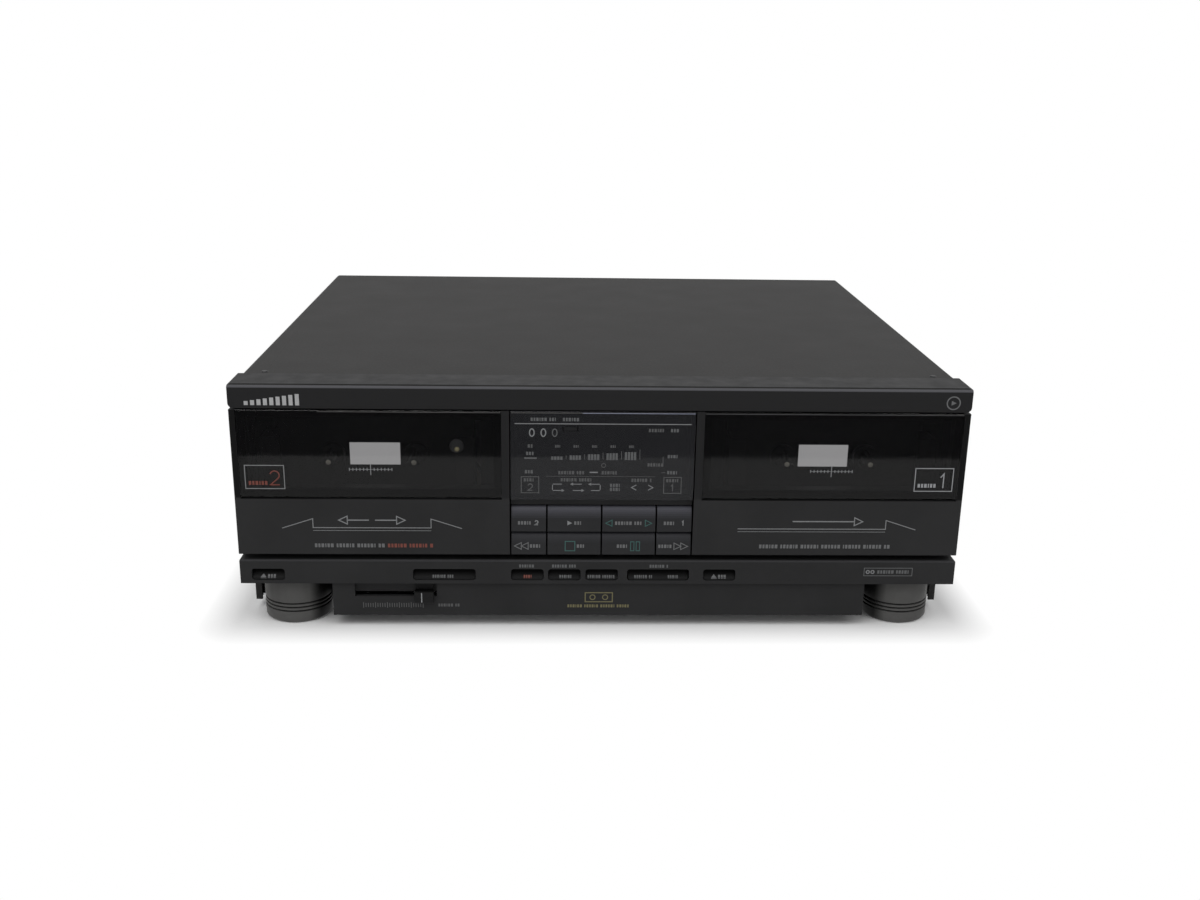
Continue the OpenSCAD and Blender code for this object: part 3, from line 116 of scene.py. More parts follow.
class Look(Nodes):
    """A material, with helpers for the textures that feed its shader."""

    def __init__(self, name):
        self.material = bpy.data.materials.new(name)
        super().__init__(self.material)
        self.shader = self.tree.nodes["Principled BSDF"]
        self.place = self.node("TexCoord").outputs["Object"]

    def shade(self, values):
        """Sets inputs of the shader by name."""
        for key, value in values.items():
            self.feed(self.shader.inputs[key], value)
        return self.material

    def stretched(self, scale):
        """The place, scaled along each axis."""
        return self.node("Mapping", {"Vector": self.place, "Scale": scale}).outputs[0]

    def noise(self, size, detail=3.0, place=None):
        """Noise with blotches of about this many millimetres."""
        inputs = {"Vector": place or self.place, "Scale": 1 / (size * MM), "Detail": detail}
        return self.node("TexNoise", inputs).outputs[0]

    def cells(self, size, feature="F1", distance="EUCLIDEAN"):
        """Distance to the points of a cell pattern of about this many millimetres."""
        inputs = {"Vector": self.place, "Scale": 1 / (size * MM)}
        made = self.node("TexVoronoi", inputs, feature=feature, distance=distance)
        return made.outputs["Distance"]

    def level(self, value, low, high, start=0.3, end=0.7):
        """A value between start and end, spread over low to high."""
        inputs = {"Value": value, "From Min": start, "From Max": end, "To Min": low, "To Max": high}
        return self.node("MapRange", inputs).outputs[0]

    def blend(self, factor, first, second):
        """Two colours mixed by a factor."""
        mix = self.node("Mix", data_type="RGBA")
        for index, value in ((0, factor), (6, first), (7, second)):
            self.feed(mix.inputs[index], value)
        return mix.outputs[2]

    def times(self, *values):
        """Product of some values."""
        return self.chain("MULTIPLY", *values)

    def along(self, axis):
        """The place along one axis."""
        return self.node("SeparateXYZ", {0: self.place}).outputs[axis]

    def within(self, axis, span, soft=0.3):
        """1 between two places along an axis in millimetres, and 0 outside them."""
        place = self.along(axis)
        low, high = (at(0, edge, 0).y if axis == "Y" else edge * MM for edge in span)
        above = self.level(place, 0, 1, low - soft * MM, low + soft * MM)
        below = self.level(place, 1, 0, high - soft * MM, high + soft * MM)
        return self.times(above, below)

    def facing(self, axis, start, end):
        """0 to 1 as a face's direction along an axis goes from start to end."""
        normal = self.node("TexCoord").outputs["Normal"]
        return self.level(self.node("SeparateXYZ", {0: normal}).outputs[axis], 0, 1, start, end)

    def edges(self, radius):
        """0 on flat faces and 1 on edges, within a radius in millimetres."""
        rounded = self.node("Bevel", {"Radius": radius * MM}, samples=3).outputs[0]
        flat = self.node("NewGeometry").outputs["Normal"]
        dot = self.node("VectorMath", {0: rounded, 1: flat}, operation="DOT_PRODUCT")
        return self.level(dot.outputs["Value"], 1, 0, start=0.75, end=1)

    def bump(self, height, depth):
        """Relief of a depth in millimetres."""
        return self.node("Bump", {"Height": height, "Distance": depth * MM}).outputs[0]


def scaled(colour, factor):
    return tuple(c * factor for c in colour)


def grey(level):
    return (level, level, level)


# Spans along X, Y and Z where the tints of the plastics change, most of them painted shade and painted
# light
INSIDE = (("Y", (5, 60)), ("X", (-177.4, 177.4)), ("Z", (37, 114.6)))
GROOVE_Z = (36, 39.9)
HOOD_Z = (114.7, 125.2)
HOOD_EDGE_Z = (120, 130)
DOOR_BORDER_Z = (69.6, 120)
DOOR_MIDDLE_X = (-176.7, 176.7)
DOOR_BACK_Y = (0.9, 60)
FOOT_FRONT_Y = (0, 45)
FOOT_GROOVES_Z = ((6.05, 6.85), (8.05, 8.85), (10.05, 10.85))
FOOT_MIDDLE_X = (-145.2, 145.2)
UPPER_KEYS_Z = (51.6, 70)
POCKET_Z = (27.9, 40)
SLIDER_Z = (0, 24)


def panel_shade_and_highlights(look, base):
    """Painted shade that makes the panel's inside black and its groove over the strip dark, a darker hood
    face, and painted highlights on its edges that lean up and forward.
    """
    # Painted shade for the wells and the groove, the hood's darker tone, and painted highlights for the
    # strip's and hood's edges
    black, groove = (0.0035, 0.0035, 0.0036), (0.012, 0.012, 0.0122)
    hood = (0.019, 0.019, 0.0196)
    strip_highlight, hood_highlight = (0.04, 0.04, 0.042), (0.082, 0.082, 0.089)
    inside = look.times(*(look.within(axis, span) for axis, span in INSIDE))
    base = look.blend(inside, base, look.blend(look.within("Z", GROOVE_Z), black, groove))
    base = look.blend(look.within("Z", HOOD_Z), base, hood)
    # Painted highlight where faces lean up and forward towards the light above
    highlight_mask = look.times(look.facing("Z", 0.1, 0.4), look.facing("Y", -0.1, -0.4))
    return look.blend(highlight_mask, base, look.blend(look.within("Z", HOOD_EDGE_Z), strip_highlight, hood_highlight))


def door_shade_and_tints(look, base):
    """A door that is darker round its window and at its outer end, with painted shade that makes it black
    behind its face.
    """
    rim, end, behind = (0.018, 0.018, 0.0186), (0.007, 0.007, 0.0072), (0.004, 0.004, 0.0042)
    border = look.within("Z", DOOR_BORDER_Z)
    base = look.blend(border, base, rim)
    middle = look.within("X", DOOR_MIDDLE_X, soft=0.2)
    base = look.blend(look.times(border, look.level(middle, 1, 0, 0, 1)), base, end)
    # Painted shade: all behind the door's face is black, as it lies in the shade of the well
    return look.blend(look.within("Y", DOOR_BACK_Y), base, behind)


def foot_painted_shade(look, base):
    """Feet with painted shade: dark in their grooves in front, and black where they face the plinth and
    lie in its shade.
    """
    front = look.within("Y", FOOT_FRONT_Y)
    for span in FOOT_GROOVES_Z:
        base = look.blend(look.times(front, look.within("Z", span, soft=0.05)), base, grey(0.004))
    return look.blend(look.within("X", FOOT_MIDDLE_X, soft=2.4), base, grey(0.006))


def key_painted_light(look, base):
    """Painted light: key faces that turn lighter where they lean back towards the light above, most of
    all in the upper row.
    """
    pale = (0.066, 0.066, 0.08)
    row = look.level(look.within("Z", UPPER_KEYS_Z), 0.25, 1, 0, 1)
    return look.blend(look.times(look.facing("Z", 0.08, 0.6), row), base, pale)


def button_painted_shade(look, base):
    """Painted shade: buttons that turn black up under their pocket's edge, and the slider's black top."""
    base = look.blend(look.within("Z", POCKET_Z, soft=1.3), base, grey(0.0016))
    top = look.times(look.facing("Z", 0.3, 0.7), look.within("Z", SLIDER_Z))
    return look.blend(top, base, grey(0.002))


def moulded(name, colour, rough=0.5, worn=2.2, shine=0.5, light_and_shade=None):
    """Moulded plastic: spark-eroded grain, faint haze and edges rubbed lighter."""
    look = Look(name)
    haze = look.noise(38, detail=4)
    handled = look.noise(9)
    base = look.blend(look.level(haze, 0, 1), scaled(colour, 0.9), scaled(colour, 1.12))
    # Painted light and shade, from the function given
    if light_and_shade:
        base = light_and_shade(look, base)
    rubbed = look.times(look.edges(0.35), look.level(handled, 0.15, 0.6))
    return look.shade({
        "Base Color": look.blend(rubbed, base, scaled(colour, worn)),
        "Roughness": look.level(handled, rough - 0.05, rough + 0.06),
        "Specular IOR Level": shine,
        "Normal": look.bump(look.noise(0.45, detail=2), 0.02),
    })


def painted(name, colour, rough=0.55, depth=0.05, shine=0.5):
    """Textured paint on sheet metal, with dusty blotches, lighter on the crinkle's raised grain, and bare
    spots on its edges.
    """
    look = Look(name)
    dust = look.noise(24, detail=6)
    crinkle = look.noise(1.1)
    base = look.blend(look.level(dust, 0, 1), scaled(colour, 0.91), scaled(colour, 1.09))
    base = look.blend(look.level(crinkle, 0, 0.5, 0.45, 0.75), base, scaled(colour, 1.5))
    spots = look.level(look.noise(5, detail=4), 0, 0.5, 0.5, 0.7)
    return look.shade({
        "Base Color": look.blend(look.times(look.edges(0.3), spots), base, grey(0.2)),
        "Roughness": look.level(dust, rough - 0.03, rough + 0.03),
        "Specular IOR Level": shine,
        "Normal": look.bump(crinkle, depth),
    })


def metal(name, colour, rough, brush=(1, 1, 1)):
    """Bare or plated metal with fine tool lines and a few duller patches."""
    look = Look(name)
    lines = look.noise(0.4, detail=4, place=look.stretched(brush))
    patches = look.noise(14, detail=4)
    return look.shade({
        "Base Color": look.blend(look.level(patches, 0, 1), scaled(colour, 0.82), colour),
        "Metallic": 1.0,
        "Roughness": look.level(patches, rough + 0.1, rough - 0.06),
        "Normal": look.bump(lines, 0.004),
    })


def glowing_tip(name, colour, painted_glint):
    """Polished metal end with a painted glint: its emission makes it glow in the dark well, though it is
    no lamp.
    """
    look = Look(name)
    polish = look.noise(0.6)
    return look.shade({
        "Base Color": look.blend(polish, scaled(colour, 0.6), scaled(colour, 0.75)),
        "Metallic": 1.0,
        "Roughness": look.level(polish, 0.3, 0.4),
        # Painted glint: the tip glows, though it is no lamp
        "Emission Color": colour,
        "Emission Strength": painted_glint,
    })


def smoked_acrylic(name, colour=(0.0004, 0.0004, 0.00045), alpha=0.5, shine=0.38):
    """Smoked window sheet: dark, see-through and polished, with faint wiping marks."""
    look = Look(name)
    wiped = look.noise(22, detail=5, place=look.stretched((0.35, 1, 1)))
    return look.shade({
        "Base Color": look.blend(wiped, colour, scaled(colour, 1.8)),
        "Roughness": look.level(wiped, 0.02, 0.06),
        "Alpha": alpha,
        "IOR": 1.49,
        "Specular IOR Level": shine,
    })


def display_glass(name):
    """Front of the display tube: black glass with a faint mesh behind it."""
    look = Look(name)
    mesh = look.cells(0.5, distance="CHEBYCHEV")
    return look.shade({
        "Base Color": look.blend(look.level(mesh, 0, 1), (0.006, 0.007, 0.008), (0.014, 0.016, 0.018)),
        "Roughness": look.level(look.noise(15), 0.12, 0.22),
        "Normal": look.bump(mesh, 0.004),
    })


def circuit_board(name, lacquer, track):
    """Lacquered board with copper tracks and solder points."""
    look = Look(name)
    tracks = look.cells(4.2, feature="DISTANCE_TO_EDGE", distance="MANHATTAN")
    points = look.cells(2.6)
    base = look.blend(look.level(tracks, 1, 0, 0.02, 0.05), lacquer, track)
    return look.shade({
        "Base Color": look.blend(look.level(points, 1, 0, 0.1, 0.16), base, scaled(track, 4)),
        "Roughness": look.level(look.noise(6), 0.28, 0.45),
        "Normal": look.bump(look.level(points, 1, 0, 0.08, 0.2), 0.2),
    })


def laminated(name):
    """Varnished iron laminations, one each half millimetre."""
    look = Look(name)
    inputs = {"Vector": look.place, "Scale": WAVE_PITCH / (0.5 * MM)}
    sheets = look.node("TexWave", inputs, bands_direction="Z").outputs[0]
    return look.shade({
        "Base Color": look.blend(sheets, (0.05, 0.035, 0.025), (0.12, 0.09, 0.065)),
        "Roughness": look.level(look.noise(8), 0.3, 0.5),
        "Normal": look.bump(sheets, 0.1),
    })


def sockets(name, split_y):
    """Black socket plate, with nickel shells behind a plane at split_y."""
    look = Look(name)
    split, step = at(0, split_y, 0).y, 0.01 * MM
    shell = look.level(look.along("Y"), 0, 1, split - step, split + step)
    grain = look.noise(0.6)
    plate = look.blend(grain, grey(0.01), grey(0.02))
    nickel = look.blend(look.level(look.noise(7), 0, 1), (0.45, 0.44, 0.42), (0.6, 0.59, 0.57))
    return look.shade({
        "Base Color": look.blend(shell, plate, nickel),
        "Metallic": shell,
        "Roughness": look.level(grain, 0.28, 0.42),
        "Normal": look.bump(grain, 0.01),
    })


def rubber(name, colour):
    """Ground rubber with a dull, dusty skin."""
    look = Look(name)
    dust = look.noise(3, detail=5)
    return look.shade({
        "Base Color": look.blend(look.level(dust, 0, 1), colour, scaled(colour, 2.0)),
        "Roughness": look.level(dust, 0.7, 0.85),
        "Normal": look.bump(look.noise(0.25), 0.012),
    })


def ink(name, colour):
    """Screen-printed ink, a little thin in places; the same look makes the painted highlights on the
    clear sheets' edges.
    """
    look = Look(name)
    cover = look.noise(0.8)
    return look.shade({
        "Base Color": look.blend(look.level(cover, 0, 1), scaled(colour, 0.82), colour),
        "Roughness": look.level(cover, 0.5, 0.65),
        "Normal": look.bump(cover, 0.006),
    })


def glowing_sheet(name):
    """White sheet behind the cassette's window, with painted light: its emission makes it evenly bright,
    though no lamp lights it.
    """
    look = Look(name)
    tone = look.noise(12)
    return look.shade({
        "Base Color": look.blend(look.level(tone, 0, 1), (0.5, 0.5, 0.51), (0.56, 0.56, 0.57)),
        "Roughness": look.level(tone, 0.5, 0.6),
        "Normal": look.bump(look.noise(0.5, detail=2), 0.004),
        # Painted light: the sheet glows, though it is no lamp
        "Emission Color": (1.0, 0.99, 1.0),
        "Emission Strength": 0.95,
    })


CHARCOAL = (0.0252, 0.0252, 0.0258)
# Length of the sockets' shells behind their plate
SOCKET_SHELL = 8.9
SOCKET_SPLIT = box_mm("phono_sockets")[1].y - SOCKET_SHELL

LOOKS = {
    "panel_plastic": moulded("charcoal_panel", CHARCOAL, shine=0.05, worn=1.5, light_and_shade=panel_shade_and_highlights),
    "door_plastic": moulded("charcoal_door", CHARCOAL, shine=0.05, worn=1.5, light_and_shade=door_shade_and_tints),
    "cover_paint": painted("textured_cover", (0.029, 0.0285, 0.0282), shine=0.04),
    "chassis_steel": metal("zinc_plate", (0.55, 0.56, 0.57), 0.38, (1, 6, 1)),
    "rear_paint": painted("rear_paint", grey(0.02), 0.5),
    "foot_plastic": moulded("grey_foot", (0.084, 0.083, 0.081), 0.55, worn=1.2, shine=0.1,
                            light_and_shade=foot_painted_shade),
    "screw_steel": metal("black_screw", (0.035, 0.035, 0.036), 0.5),
    "smoked_window": smoked_acrylic("smoked_acrylic"),
    "holder_plastic": moulded("black_holder", (0.011, 0.011, 0.0115), 0.6, shine=0.08),
    "pin_steel": metal("bright_steel", (0.6, 0.61, 0.62), 0.28, (1, 1, 5)),
    "display_tube": display_glass("display_tube"),
    "key_plastic": moulded("charcoal_key", (0.0125, 0.0127, 0.014), 0.45, shine=0.22,
                           light_and_shade=key_painted_light),
    "button_plastic": moulded("black_button", (0.012, 0.012, 0.0123), worn=1.2, shine=0.06,
                              light_and_shade=button_painted_shade),
    "circuit_board": circuit_board("lacquered_board", (0.012, 0.05, 0.025), (0.03, 0.11, 0.05)),
    "transformer_iron": laminated("laminated_core"),
    "socket_plastic": sockets("nickel_sockets", SOCKET_SPLIT),
    "reflector_white": glowing_sheet("glowing_sheet"),
    "transport_paint": painted("black_transport", (0.013, 0.013, 0.0135), 0.5, depth=0.02,
                               shine=0.1),
    "spindle_plastic": moulded("black_spindle", grey(0.006), 0.4, worn=2, shine=0.2),
    "flywheel_brass": metal("turned_brass", (0.24, 0.19, 0.1), 0.45),
    "motor_steel": metal("plated_can", (0.5, 0.51, 0.53), 0.3, (1, 5, 1)),
    "drive_rubber": rubber("ground_rubber", grey(0.012)),
    "head_chrome": metal("polished_head", (0.72, 0.73, 0.74), 0.14),
}

# Nodes that differ from the others of their slot
NODE_LOOKS = {
    "control_board": circuit_board("black_board", grey(0.003), (0.006, 0.006, 0.005)),
    "display_window": smoked_acrylic("display_acrylic", (0.0125, 0.0127, 0.014), 0.75, 0.23),
    "counter_reset_button": moulded("reset_button", (0.0125, 0.0126, 0.0134), 0.4, worn=1.3,
                                    shine=0.15),
}

# Soft edges on the pieces that show, by width in millimetres
EDGE = {
    "panel_plastic": 0.3, "door_plastic": 0.3, "key_plastic": 0.3, "button_plastic": 0.22,
    "smoked_window": 0.12, "holder_plastic": 0.2, "cover_paint": 0.15, "rear_paint": 0.12,
    "foot_plastic": 0.2, "socket_plastic": 0.15, "spindle_plastic": 0.12, "head_chrome": 0.12,
    "pin_steel": 0.12, "display_tube": 0.15, "screw_steel": 0.1, "transport_paint": 0.1,
}
WELD_REACH = 0.002
EDGE_ANGLE = radians(35)


def dress_frame():
    """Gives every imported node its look, and soft edges where they show."""
    for subpart in frame["record"]["subparts"]:
        slot = subpart["material_slot"]
        shown = frame["nodes"][subpart["node"]]
        for holder in shown.material_slots:
            holder.material = NODE_LOOKS.get(subpart["node"], LOOKS[slot])
        if slot in EDGE:
            weld = shown.modifiers.new("joined_corners", "WELD")
            weld.merge_threshold = WELD_REACH * MM
            soft = shown.modifiers.new("soft_edges", "BEVEL")
            soft.width = EDGE[slot] * MM
            soft.segments = 2
            soft.limit_method = "ANGLE"
            soft.angle_limit = EDGE_ANGLE
            soft.harden_normals = True


# Meshes

TURN_STEPS = 28
DOME_STEP = 15


def placed(name, data):
    """A new object in the scene."""
    made = bpy.data.objects.new(name, data)
    bpy.context.scene.collection.objects.link(made)
    return made


def piece(name, vertices, faces, body, look, smooth=False):
    """A closed mesh that rides a body."""
    mesh = bpy.data.meshes.new(name)
    mesh.from_pydata(vertices, [], faces)
    shell = bmesh.new()
    shell.from_mesh(mesh)
    bmesh.ops.recalc_face_normals(shell, faces=shell.faces)
    shell.to_mesh(mesh)
    shell.free()
    for face in mesh.polygons:
        face.use_smooth = smooth
    mesh.materials.append(look)
    made = placed(name, mesh)
    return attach(made, body)


def block(name, low, high, body, look):
    """A box between two corners in millimetres."""
    (x0, y0, z0), (x1, y1, z1) = low, high
    corners = [at(x, y, z) for z in (z0, z1) for x, y in ((x0, y0), (x1, y0), (x1, y1), (x0, y1))]
    walls = [(i, (i + 1) % 4, 4 + (i + 1) % 4, 4 + i) for i in range(4)]
    return piece(name, corners, [(0, 1, 2, 3), (4, 5, 6, 7)] + walls, body, look)


def turned(name, x, z, outline, body, look, loop=False):
    """A shape turned about a line along Y, from (radius, y) pairs: a ring if they loop."""
    rings, vertices, faces = [], [], []
    for radius, y in outline:
        count = TURN_STEPS if radius else 1
        rings.append(range(len(vertices), len(vertices) + count))
        vertices += [at(x + radius * cos(a), y, z + radius * sin(a))
                     for a in (tau * i / count for i in range(count))]
    for first, second in list(zip(rings, rings[1:])) + ([(rings[-1], rings[0])] if loop else []):
        for i in range(TURN_STEPS):
            corners = [first[i % len(first)], first[(i + 1) % len(first)],
                       second[(i + 1) % len(second)], second[i % len(second)]]
            faces.append(list(dict.fromkeys(corners)))
    return piece(name, vertices, faces, body, look, smooth=not loop)


def dome(name, place, radius, height, body, look):
    """A round head that stands out to the front (or to the back, with a negative height)."""
    x, y, z = place
    turn = [radians(a) for a in range(0, 91, DOME_STEP)]
    cap = [(radius * sin(a) if a else 0, y - height * cos(a)) for a in turn]
    return turned(name, x, z, cap + [(0, y)], body, look)


# Printed signs, and painted highlights on the clear sheets' edges. A mark's fixed values are kept in the
# order in which Print's functions take them

BRIGHT = ink("bright_ink", (0.275, 0.28, 0.29))
HOOD_INK = ink("hood_ink", (0.38, 0.38, 0.385))
PALE = ink("pale_ink", (0.19, 0.195, 0.20))
DIM = ink("dim_ink", (0.085, 0.088, 0.09))
KEY_INK = ink("key_ink", (0.115, 0.117, 0.12))
FAINT = ink("faint_ink", (0.066, 0.067, 0.068))
RED = ink("red_ink", (0.15, 0.03, 0.017))
TEAL = ink("teal_ink", (0.02, 0.08, 0.072))
GOLD = ink("gold_ink", (0.125, 0.11, 0.048))
# Painted highlights along the edges of the clear sheets, where they catch the light
DIM_HIGHLIGHT = ink("dim_highlight", (0.036, 0.036, 0.037))
WARM_HIGHLIGHT = ink("warm_highlight", (0.047, 0.045, 0.043))
BLUE_HIGHLIGHT = ink("blue_highlight", (0.2, 0.215, 0.285))

INK_HEIGHT = 0.03
INK_ROOT = 0.02
# Depths from which print looks for a front (1) or a back (-1)
LOOK_FROM = {1: -50, -1: 350}
# Steps of the ink on a curved face, half its width at a point, and heights that count as one
ROW_HEIGHT = 0.35
ROW_POINT = 0.02
TOUCH = 1e-4
# Widths of the blocks that stand for small print, in their heights, and the gaps between
# blocks and between words of so many blocks
BLOCKS = (0.6, 0.5, 0.66, 0.3, 0.56, 0.68, 0.44)
BLOCK_GAP = 0.26
WORD_GAP = 0.75
WORD = 6
RING_STEPS = 20
# Half a figure's width, in its heights
FIGURE_HALF = 0.3


class Print:
    """Ink, or a painted highlight, on the front of a node (or on its back), in one thin mesh that rides a
    body.
    """

    drawn = []

    def __init__(self, name, node, body, colour, curved=False, back=False):
        self.name, self.body, self.colour, self.curved = name, body, colour, curved
        self.way = -1 if back else 1
        self.vertices, self.faces = [], []
        mesh = frame["nodes"][node].data
        corners, faces = [v.co for v in mesh.vertices], [p.vertices for p in mesh.polygons]
        self.tree = BVHTree.FromPolygons(corners, faces)
        Print.drawn.append(self)

    def face_y(self, x, z):
        """Depth of the first face that a look from outside meets."""
        start = at(x, LOOK_FROM[self.way], z)
        hit = self.tree.ray_cast(start, Vector((0, self.way, 0)))[0]
        return (hit.y - FRONT_Y) / MM

    def area(self, outline):
        """A filled convex outline of (x, z) points, anticlockwise."""
        if self.curved:
            self.rows(outline)
            return
        count, first = len(outline), len(self.vertices)
        depths = [self.face_y(x, z) for x, z in outline]
        for lift in (-INK_HEIGHT, INK_ROOT):
            self.vertices += [at(x, y + self.way * lift, z) for (x, z), y in zip(outline, depths)]
        front = list(range(first, first + count))
        back = list(range(first + count, first + 2 * count))
        self.faces += [front, back[::-1]]
        self.faces += [[front[i - 1], back[i - 1], back[i], front[i]] for i in range(count)]

    def rows(self, outline):
        """A filled convex outline, cut into low rows that follow a face curved in height."""
        heights = sorted({round(z, 4) for _, z in outline})
        levels = heights[:1]
        for low, high in zip(heights, heights[1:]):
            steps = ceil((high - low) / ROW_HEIGHT)
            levels += [low + (high - low) * (i + 1) / steps for i in range(steps)]
        first = len(self.vertices)
        for z in levels:
            left, right = self.cut(outline, z)
            depth = self.face_y((left + right) / 2, z)
            self.section((left, z), (right, z), depth, depth)
        self.tube(first, len(levels))

    @staticmethod
    def cut(outline, z):
        """Ends of a convex outline at a height, a little apart even at its points."""
        cuts = []
        for (xa, za), (xb, zb) in zip(outline, outline[1:] + outline[:1]):
            if min(za, zb) - TOUCH <= z <= max(za, zb) + TOUCH:
                cuts += [xa, xb] if abs(za - zb) < TOUCH else [xa + (xb - xa) * (z - za) / (zb - za)]
        left, right = min(cuts), max(cuts)
        if right - left < 2 * ROW_POINT:
            left, right = (left + right) / 2 - ROW_POINT, (left + right) / 2 + ROW_POINT
        return left, right

    def section(self, first, second, first_y, second_y):
        """Four corners of the ink between two (x, z) points that lie at these depths."""
        for (x, z), y, lift in ((first, first_y, -INK_HEIGHT), (second, second_y, -INK_HEIGHT),
                                (second, second_y, INK_ROOT), (first, first_y, INK_ROOT)):
            self.vertices.append(at(x, y + self.way * lift, z))

    def tube(self, first, count, closed=False):
        """Faces along some sections, with both ends filled unless it closes on itself."""
        for i in range(count if closed else count - 1):
            a, b = first + 4 * i, first + 4 * ((i + 1) % count)
            self.faces += [[a + k, a + (k + 1) % 4, b + (k + 1) % 4, b + k] for k in range(4)]
        if not closed:
            last = first + 4 * (count - 1)
            self.faces += [[first, first + 3, first + 2, first + 1], [last, last + 1, last + 2, last + 3]]

    def stroke(self, points, width, closed=False):
        """A line of one width along (x, z) points, mitred at its corners."""
        if self.curved:
            points = self.split(points, closed)
        count, first = len(points), len(self.vertices)
        spots = [Vector(p) for p in points]
        for i, spot in enumerate(spots):
            near = []
            if closed or i > 0:
                near.append(spot - spots[i - 1])
            if closed or i < count - 1:
                near.append(spots[(i + 1) % count] - spot)
            across = sum((Vector((-d.y, d.x)).normalized() for d in near), Vector((0, 0))) / len(near)
            across *= width / 2 / across.length_squared
            left, right = spot + across, spot - across
            self.section(left, right, self.face_y(*left), self.face_y(*right))
        self.tube(first, count, closed)

    @staticmethod
    def split(points, closed):
        """The same line with points close enough to follow a curved face."""
        fine = [] if closed else [points[0]]
        for (xa, za), (xb, zb) in zip(points, points[1:] + (points[:1] if closed else [])):
            steps = max(1, ceil(hypot(xb - xa, zb - za) / ROW_HEIGHT))
            shares = [(i + 1) / steps for i in range(steps)]
            fine += [(xa + (xb - xa) * share, za + (zb - za) * share) for share in shares]
        return fine

    def bar(self, x0, x1, z0, z1):
        self.area([(x0, z0), (x1, z0), (x1, z1), (x0, z1)])

    def line(self, x0, x1, z, width):
        """A level line between two ends, given in either order."""
        self.bar(min(x0, x1), max(x0, x1), z - width / 2, z + width / 2)

    def post(self, x, z0, z1, width):
        """An upright line."""
        self.bar(x - width / 2, x + width / 2, z0, z1)

    def frame_line(self, x0, x1, z0, z1, width):
        self.stroke([(x0, z0), (x1, z0), (x1, z1), (x0, z1)], width, closed=True)

    def dashes(self, x0, x1, z, height, shift=0):
        """A row of small blocks between two ends, shifted along X, in place of small print."""
        x, x1, turn = x0 + shift, x1 + shift, 0
        while x < x1 - BLOCK_GAP * height:
            end = min(x + BLOCKS[turn % len(BLOCKS)] * height, x1)
            self.bar(x, end, z - height / 2, z + height / 2)
            turn += 1
            x = end + height * (BLOCK_GAP if turn % WORD else WORD_GAP)

    def ring(self, x, z, radius, width):
        turn = [tau * i / RING_STEPS for i in range(RING_STEPS)]
        circle = [(x + radius * cos(a), z + radius * sin(a)) for a in turn]
        self.stroke(circle, width, closed=True)

    def pointer(self, way, x, z, half, width=None):
        """A triangle that points along way (1 right, -1 left), filled or of one line width."""
        tip, heel = (x + way * half, z), x - way * half
        corners = [(heel, z - half), tip, (heel, z + half)]
        if way < 0:
            corners = corners[::-1]
        if width:
            self.stroke(corners, width, closed=True)
        else:
            self.area(corners)

    def figure(self, number, x, z, height, width):
        """A plain figure 0, 1 or 2, centred on x and standing on z."""
        half = height * FIGURE_HALF
        if number == 0:
            turn = [radians(a) for a in range(0, 360, 24)]
            oval = [(x + half * cos(a), z + height / 2 * (1 + sin(a))) for a in turn]
            self.stroke(oval, width, closed=True)
        if number == 1:
            self.stroke([(x - half * 0.7, z + height * 0.74), (x, z + height), (x, z)], width)
        if number == 2:
            turn = [radians(a) for a in range(165, -46, -21)]
            top = z + height - half
            bow = [(x + half * cos(a), top + half * sin(a)) for a in turn]
            self.stroke(bow + [(x - half, z + width / 2), (x + half, z + width / 2)], width)


def print_pieces():
    """Makes the pieces of all print, painted highlights among it, drawn since the last call."""
    for sign in Print.drawn:
        piece(sign.name, sign.vertices, sign.faces, sign.body, sign.colour)
    Print.drawn.clear()


# Doors, from the middle of each: a line motif with a second line under it
SIGN_X = 113.4
MOTIF_Z = 54.0
MOTIF_CORNER = (29.0, 58.7)
MOTIF_TIP = (44.2, 53.7)
MOTIF_START = -45.4
MOTIF_LINE = 0.42
MOTIF_SECOND = (52.5, 0.24)
# Arrows over the motif, both ways on door B and onward on door A: start, end and way
ARROWS = {"b": ((1.5, 12.0, -1), (1.5, 12.0, 1)), "a": ((-18.0, 13.0, 1),)}
ARROW_LINE = (58.0, 0.6)
ARROW_HEAD = (58.0, 2.1, 0.5)
ARROW_HEAD_OUT = 2.2
# Small print under them: the door, the kind, its ends and its ink
DOOR_PRINT = (("b", "small_print", -142, -107, KEY_INK), ("b", "red_print", -106, -83.7, RED),
              ("a", "small_print", 79.3, 146, KEY_INK))
SMALL_PRINT = (44.6, 2.0)


def door_signs():
    def sign(letter, kind, colour):
        return Print(f"door_{letter}_{kind}", "door_" + letter, "tilting_door_" + letter, colour)

    corner_x = MOTIF_CORNER[0]
    rise = [(corner_x, MOTIF_Z), MOTIF_CORNER, MOTIF_TIP]
    fall = [(-x, z) for x, z in rise[::-1]]
    doors = (("b", -SIGN_X, fall, -corner_x), ("a", SIGN_X, [(MOTIF_START, MOTIF_Z)], MOTIF_START))
    for letter, middle, opening, start in doors:
        motif = sign(letter, "print", PALE)
        motif.stroke([(middle + x, z) for x, z in opening + rise], MOTIF_LINE)
        motif.line(middle + start, middle + corner_x, *MOTIF_SECOND)
    for letter, middle, _, _ in doors:
        arrows = sign(letter, "arrows", PALE)
        for start, end, way in ARROWS[letter]:
            arrows.line(middle + way * start, middle + way * end, *ARROW_LINE)
            arrows.pointer(way, middle + way * (end + ARROW_HEAD_OUT), *ARROW_HEAD)
    for letter, kind, x0, x1, colour in DOOR_PRINT:
        sign(letter, kind, colour).dashes(x0, x1, *SMALL_PRINT)


# Label at the outer end of each window, with small print and a number in it
LABEL_X = (155.0, 173.9)
LABEL = (74.3, 86.2, 0.42)
LABEL_PRINT = (1.6, 10.6, 77.2, 2.0)
NUMBER_IN = 4.6
NUMBER = (76.0, 7.4, 0.55)
